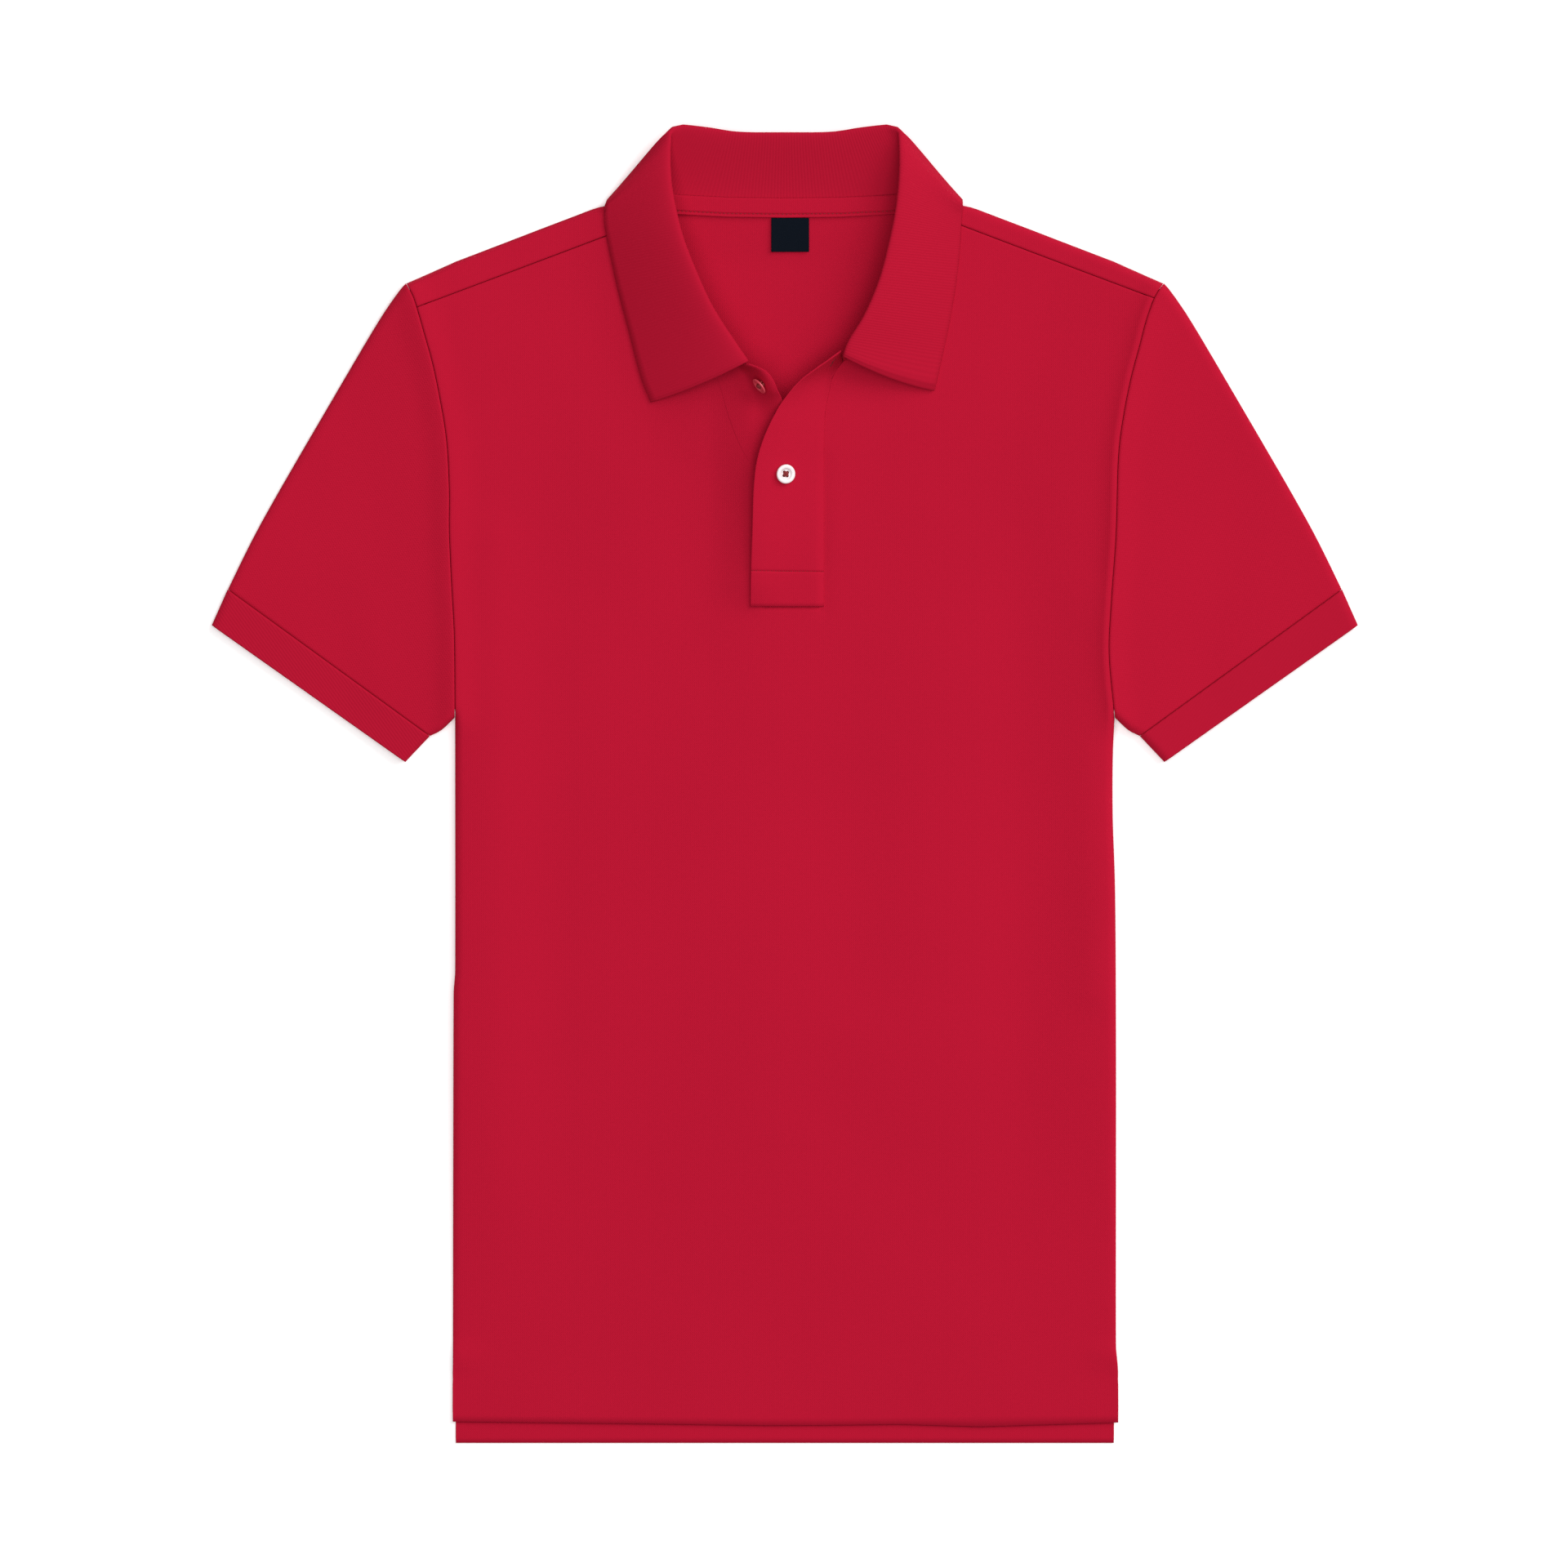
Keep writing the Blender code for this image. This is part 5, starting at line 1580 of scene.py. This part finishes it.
@dataclass
class NeckLabel(SewnPiece):
    """Bare woven label, sewn in below the tape."""

    node: str = "neck_label"
    finish: Finish = LABEL_WEAVE
    slot: str = "black_label"
    thickness: float = 0.6
    flat: Pair = (0.0218, 0.0195)
    area: float = 0.00042
    rests_on: Names = ("cloth_back",)
    left: float = -7.8
    right: float = 14.0
    bottom: float = 309.5
    top: float = 329.0
    height: float = 2.3          # above the back's outer face
    grid: tuple[int, int] = (8, 10)     # even steps across and down
    corner_lift: float = 0.25
    lift_reach: Pair = (11.0, 20.0)     # sideways from the label's middle, down from its top

    def shell(self) -> Shell:
        """The label's shell, its lower corners lifting a little.

        Returns:
            The shell.
        """
        x, y = np.meshgrid(self.left + paced(self.right - self.left, self.grid[0]),
                           self.top - paced(self.top - self.bottom, self.grid[1]), indexing="ij")
        base = self.form.lower(np.stack((x, y), axis=2).reshape(-1, 2)).reshape(x.shape)
        aside = np.abs(x - (self.left + self.right) / 2) / self.lift_reach[0]
        lift = self.corner_lift * smooth((self.top - y) / self.lift_reach[1]) * aside ** 2
        return self.level_sheet(np.stack((x, y, base + self.height + lift), axis=2))


# ---- threads and buttons ----

@dataclass(frozen=True)
class StitchRun:
    """A run of sewn stitches along a path, made by geometry nodes."""

    pitch: float = 2.6
    length: float = 1.9
    radius: float = 0.17
    seed: int = 7
    jitter: Pair = (0.92, 1.06)  # shortest and longest stitch, against the length

    def tree(self) -> Tree:
        """Node tree that lays one stitch at each step along a curve.

        Returns:
            The tree, with inputs for the pitch, the stitch's length and radius, the seed and the thread.
        """
        found = bpy.data.node_groups.get("stitch_run")
        if found is not None:
            return found
        tree = bpy.data.node_groups.new("stitch_run", "GeometryNodeTree")
        for name, kind in (("Path", "Geometry"), ("Pitch", "Float"), ("Stitch Length", "Float"),
                           ("Thread Radius", "Float"), ("Seed", "Int"), ("Thread", "Material")):
            tree.interface.new_socket(name, in_out="INPUT", socket_type=f"NodeSocket{kind}")
        tree.interface.new_socket("Stitches", in_out="OUTPUT", socket_type="NodeSocketGeometry")
        node = {key: tree.nodes.new(kind) for key, kind in (
            ("in", "NodeGroupInput"), ("points", "GeometryNodeCurveToPoints"),
            ("bead", "GeometryNodeMeshUVSphere"), ("turn", "FunctionNodeAlignRotationToVector"),
            ("half", "ShaderNodeMath"), ("jitter", "FunctionNodeRandomValue"),
            ("long", "ShaderNodeMath"), ("size", "ShaderNodeCombineXYZ"),
            ("instance", "GeometryNodeInstanceOnPoints"), ("real", "GeometryNodeRealizeInstances"),
            ("smooth", "GeometryNodeSetShadeSmooth"), ("paint", "GeometryNodeSetMaterial"),
            ("out", "NodeGroupOutput"))}
        node["points"].mode = "LENGTH"
        node["turn"].axis = "X"
        node["jitter"].data_type = "FLOAT"
        node["half"].operation = node["long"].operation = "MULTIPLY"
        node["half"].inputs[1].default_value = 0.5
        set_inputs(node["bead"], Segments=8, Rings=6, Radius=1.0)
        for socket, value in zip(node["jitter"].inputs[2:4], self.jitter):       # its float Min and Max
            socket.default_value = value
        for source, output, target, entry in (
                ("in", "Path", "points", "Curve"), ("in", "Pitch", "points", "Length"),
                ("in", "Stitch Length", "half", 0), ("half", 0, "long", 0), ("jitter", 1, "long", 1),
                ("in", "Seed", "jitter", "Seed"), ("long", 0, "size", 0), ("in", "Thread Radius", "size", 1),
                ("in", "Thread Radius", "size", 2), ("points", "Points", "instance", "Points"),
                ("points", "Tangent", "turn", "Vector"), ("turn", "Rotation", "instance", "Rotation"),
                ("bead", "Mesh", "instance", "Instance"), ("size", 0, "instance", "Scale"),
                ("instance", "Instances", "real", 0), ("real", 0, "smooth", "Geometry"),
                ("smooth", 0, "paint", "Geometry"), ("in", "Thread", "paint", "Material"),
                ("paint", 0, "out", 0)):
            tree.links.new(node[source].outputs[output], node[target].inputs[entry])
        return tree

    def sew(self, name: str, path: Array, thread: Finish = THREAD) -> Object:
        """Sew along a path.

        Args:
            name: Name of the finished piece.
            path: Points of the path.
            thread: Finish of the thread.

        Returns:
            A plain mesh of stitches.
        """
        curve = bpy.data.curves.new(f"{name}_path", "CURVE")
        curve.dimensions = "3D"
        spline = curve.splines.new("POLY")
        spline.points.add(len(path) - 1)
        spline.points.foreach_set("co", np.column_stack((path * MILLIMETRE, np.ones(len(path)))).reshape(-1))
        carrier = link(f"{name}_path", curve)
        modifier = carrier.modifiers.new("stitches", "NODES")
        modifier.node_group = self.tree()
        values = {"Pitch": self.pitch * MILLIMETRE, "Stitch Length": self.length * MILLIMETRE,
                  "Thread Radius": self.radius * MILLIMETRE, "Seed": self.seed, "Thread": thread.material()}
        for item in modifier.node_group.interface.items_tree:
            if item.name in values:
                modifier[item.identifier] = values[item.name]
        mesh = baked(carrier)
        mesh.name = name
        bpy.data.objects.remove(carrier)
        bpy.data.curves.remove(curve)
        piece = link(name, mesh)
        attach(piece, BODY)
        LOG.info("%s: %d faces", name, len(mesh.polygons))
        return piece


SECOND_BUTTON = (0.2, 180.8)
TOP_BUTTON = (-12.6, 232.0)
TOP_BUTTON_FACING = (-0.7285, -0.6115, 0.310)   # hangs on its thread, turned down to the left


@dataclass
class Button:
    """Four-hole button with a raised rim, sewn on with dark thread."""

    node: str
    seat: Array
    facing: Array
    shank: float = 0.5           # length of the thread under the disc
    radius: float = 5.65
    height: float = 2.2
    finish: Finish = PEARL
    hole: float = 0.90
    hole_offset: float = 1.45
    hole_turn: float = 0.2       # radians by which the square of holes is turned
    hole_sides: int = 20
    strand_radius: float = 0.58
    strand_gap: float = 1.1      # from one strand to the next at the button's middle
    strand_base: float = 0.46    # height of the face inside the rim, as a share of the disc's
    strand_arch: float = 0.5     # how high the strands cross above it
    strand_step: float = 0.3     # how far the second pair lies above the first
    strand_aside: float = 0.3    # from one strand to the next at the holes
    strand_rise: float = 0.7     # how steeply a strand leaves its hole
    strand_steps: int = 10       # from a foot to the crossing
    strand_sides: int = 8
    rim: Table = ((0.74, 0.0), (0.90, 0.06), (0.98, 0.25), (1.0, 0.5), (0.985, 0.72), (0.94, 0.90),
                  (0.86, 0.99), (0.78, 1.0), (0.70, 0.98), (0.62, 0.91), (0.57, 0.78), (0.53, 0.62),
                  (0.48, 0.50), (0.40, 0.44))
    sides: int = 56
    merge: float = 0.005         # corners closer than this are one
    sharp: float = 50.0          # degrees above which an edge stays sharp

    def frame(self) -> Matrix:
        """Where the button sits and how it is turned, in metres."""
        turn = Vector(self.facing).to_track_quat("Z", "Y").to_matrix().to_4x4()
        return Matrix.Translation(Vector(self.seat) * MILLIMETRE) @ turn

    def hole_places(self) -> list[Pair]:
        """Middles of the holes, in the button's own plane."""
        return [(self.hole_offset * math.cos(angle), self.hole_offset * math.sin(angle))
                for angle in (math.pi / 4 + index * math.pi / 2 + self.hole_turn for index in range(4))]

    def disc(self) -> Object:
        """The turned disc with its holes cut through.

        Returns:
            The disc, in place and finished.
        """
        builder = bmesh.new()
        profile = [builder.verts.new((radius * self.radius, 0.0, height * self.height))
                   for radius, height in self.rim]
        edges = [builder.edges.new(pair) for pair in zip(profile, profile[1:])]
        bmesh.ops.spin(builder, geom=profile + edges, cent=(0, 0, 0), axis=(0, 0, 1), angle=math.tau,
                       steps=self.sides, use_merge=False)
        bmesh.ops.remove_doubles(builder, verts=builder.verts[:], dist=self.merge)
        bmesh.ops.holes_fill(builder, edges=builder.edges[:], sides=0)
        bmesh.ops.recalc_face_normals(builder, faces=builder.faces[:])
        button = self.made(f"{self.node}_disc", builder)
        cutter = bmesh.new()
        for x, y in self.hole_places():
            bmesh.ops.create_cone(cutter, cap_ends=True, segments=self.hole_sides, radius1=self.hole,
                                  radius2=self.hole, depth=self.height * 3,
                                  matrix=Matrix.Translation((x, y, self.height / 2)))
        drill = self.made(f"{self.node}_drill", cutter)
        cut = button.modifiers.new("holes", "BOOLEAN")
        cut.operation, cut.solver, cut.object = "DIFFERENCE", "EXACT", drill
        mesh = baked(button)
        for spent in (button, drill):
            bpy.data.objects.remove(spent)
        mesh.transform(self.frame())
        mesh.shade_smooth()
        mesh.set_sharp_from_angle(angle=math.radians(self.sharp))
        mesh.materials.clear()
        mesh.materials.append(self.finish.material())
        return link(f"pearl_{self.node}", mesh)

    def made(self, name: str, builder: BMesh) -> Object:
        """Object in metres from a builder in millimetres.

        Args:
            name: Name of the object.
            builder: Its mesh, freed here.

        Returns:
            The object.
        """
        bmesh.ops.scale(builder, vec=(MILLIMETRE,) * 3, verts=builder.verts[:])
        mesh = bpy.data.meshes.new(name)
        builder.to_mesh(mesh)
        builder.free()
        return link(name, mesh)

    def thread(self) -> Object:
        """Crossed threads through the holes, and the shank under the button.

        Returns:
            The threads, in place and finished.
        """
        holes = [np.array((x, y, self.strand_base * self.height)) for x, y in self.hole_places()]
        builder = bmesh.new()
        for index, (start, end) in enumerate(((holes[0], holes[2]), (holes[1], holes[3]))):
            across = unit(np.cross(end - start, (0.0, 0.0, 1.0)))
            for aside in (-1.0, 0.0, 1.0):
                top = (start + end) / 2 + across * aside * self.strand_gap
                top[2] += self.strand_arch + self.strand_step * index - self.strand_step / 2 * abs(aside)
                ends = [hole + self.strand_aside * aside * across for hole in (start, end)]
                feet = [end * (1, 1, 0) - (0, 0, self.shank) for end in ends]
                rise = (0.0, 0.0, self.strand_rise)
                path = bezier((feet[0], ends[0] + rise, top, top), self.strand_steps)
                path += bezier((top, top, ends[1] + rise, feet[1]), self.strand_steps, 1)
                self.strand(builder, np.array(path))
        bmesh.ops.recalc_face_normals(builder, faces=builder.faces[:])
        made = self.made(f"thread_{self.node}", builder)
        made.data.transform(self.frame())
        made.data.shade_smooth()
        made.data.materials.append(DARK_THREAD.material())
        return made

    def strand(self, builder: BMesh, path: Array) -> None:
        """Add a round strand along a path.

        Args:
            builder: Where the strand goes.
            path: Points of its middle.
        """
        rings, sides, radius = [], self.strand_sides, self.strand_radius
        for point, step in zip(path, np.gradient(path, axis=0)):
            turn = Vector(step).to_track_quat("Z", "Y").to_matrix()
            rings.append([builder.verts.new(Vector(point) + turn @ Vector((
                radius * math.cos(angle), radius * math.sin(angle), 0.0)))
                for angle in np.arange(sides) * math.tau / sides])
        for ring, after in zip(rings, rings[1:]):
            for index in range(sides):
                follow = (index + 1) % sides
                builder.faces.new((ring[index], ring[follow], after[follow], after[index]))
        builder.faces.new(rings[0])
        builder.faces.new(rings[-1][::-1])

    def dress(self) -> None:
        """Build the disc and its thread in place of the solid button."""
        disc, thread = self.disc(), self.thread()
        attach(disc, BODY)
        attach(thread, BODY)
        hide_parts(self.node)
        LOG.info("%s: %d faces", disc.name, len(disc.data.polygons))


# ---- studio ----

@dataclass(frozen=True)
class Studio:
    """Pale floor, soft light from above and from the upper right, and a camera straight above."""

    frame_width: float = 0.912   # metres across the photograph's frame
    camera_height: float = 10.0
    sensor: float = 36.0
    floor_size: float = 8.0
    floor_drop: float = 0.0004
    aim_x: float = -0.000475     # the shirt stands a pixel to the right of the photograph's middle
    fill: float = 0.145
    top_light: tuple[Row, float, float] = ((0.0, 0.0, 2.4), 2.2, 43.4)  # place, size, power
    side_light: tuple[Row, float, float] = ((5.29, 4.13, 4.36), 6.2, 480.0)

    def build(self) -> None:
        """Make the floor, the light, the fill and the camera."""
        scene = bpy.context.scene
        builder = bmesh.new()
        bmesh.ops.create_grid(builder, x_segments=1, y_segments=1, size=self.floor_size / 2)
        mesh = bpy.data.meshes.new("floor")
        builder.to_mesh(mesh)
        builder.free()
        mesh.transform(Matrix.Translation((0.0, 0.0, -self.floor_drop)))
        mesh.materials.append(FLOOR.material())
        link("floor", mesh)
        world = bpy.data.worlds.new("studio")
        world.use_nodes = True
        ground = world.node_tree.nodes["Background"]
        set_inputs(ground, Color=(1.0, 1.0, 1.0, 1.0), Strength=self.fill)
        scene.world = world
        self.lamp("top_light", *self.top_light)
        self.lamp("side_light", *self.side_light)
        lens = bpy.data.cameras.new("camera")
        lens.sensor_width = self.sensor
        lens.lens = self.sensor * self.camera_height / self.frame_width
        lens.clip_end = 100.0
        camera = link("camera", lens)
        camera.location = (self.aim_x, 0.0, self.camera_height)
        scene.camera = camera
        scene.view_settings.view_transform = "Standard"

    @staticmethod
    def lamp(name: str, place: Row, size: float, power: float) -> None:
        """Hang a soft square light that faces the shirt.

        Args:
            name: Name of the light.
            place: x, y, z in metres.
            size: Length of its side.
            power: Power in watts.
        """
        light = bpy.data.lights.new(name, "AREA")
        light.shape, light.size, light.energy = "SQUARE", size, power
        made = link(name, light)
        made.location = place
        made.rotation_euler = Vector(place).to_track_quat("Z", "Y").to_euler()
        made.visible_camera = False


def main() -> None:
    """Build every piece in order."""
    logging.basicConfig(level=logging.INFO, format="%(name)s: %(message)s")
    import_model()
    Studio().build()
    form = LaidForm()
    BackPanel(form).dress()
    FrontPanel(form).dress()
    for side in Side:
        Sleeve(form, node=f"sleeve_{side.word}", side=side, welt=0.4 if side is Side.LEFT else 0.2).dress()
        Cuff(form, node=f"cuff_{side.word}", side=side).dress()
    Collar(form).dress()
    top = Placket(form, node="placket_top", flat=(0.150, 0.046), area=0.0059,
                  thickness=1.0, rests_on=("cloth_placket_under",))
    under = UnderPlacket(form, node="placket_under", table=PLACKET_UNDER,
                         flat=(0.155, 0.05), area=0.0062, rests_on=("cloth_back",))
    top.dress()
    under.dress()
    tape = NeckTape(form)
    tape.dress()
    NeckLabel(form).dress()
    Button("button_second", *top.seat(SECOND_BUTTON, gap=0.7), shank=0.9).dress()
    # the top button's finish carries painted shade and a painted reflection of the red cloth
    Button("button_top", under.seat(TOP_BUTTON, gap=2.2)[0], np.array(TOP_BUTTON_FACING), shank=2.4,
           radius=5.2, height=1.1, finish=PAINTED_SHADE_PEARL).dress()
    StitchRun(pitch=2.4, length=1.7).sew("tape_stitches", tape.sewn_line())
    StitchRun(pitch=2.2, length=1.8, radius=0.2).sew("placket_stitches", top.foot_line(), SEAM_THREAD)
    StitchRun(pitch=0.75, length=0.9, radius=0.3).sew("buttonhole_stitches", top.button_hole(), SEAM_THREAD)


if __name__ == "__main__":
    main()
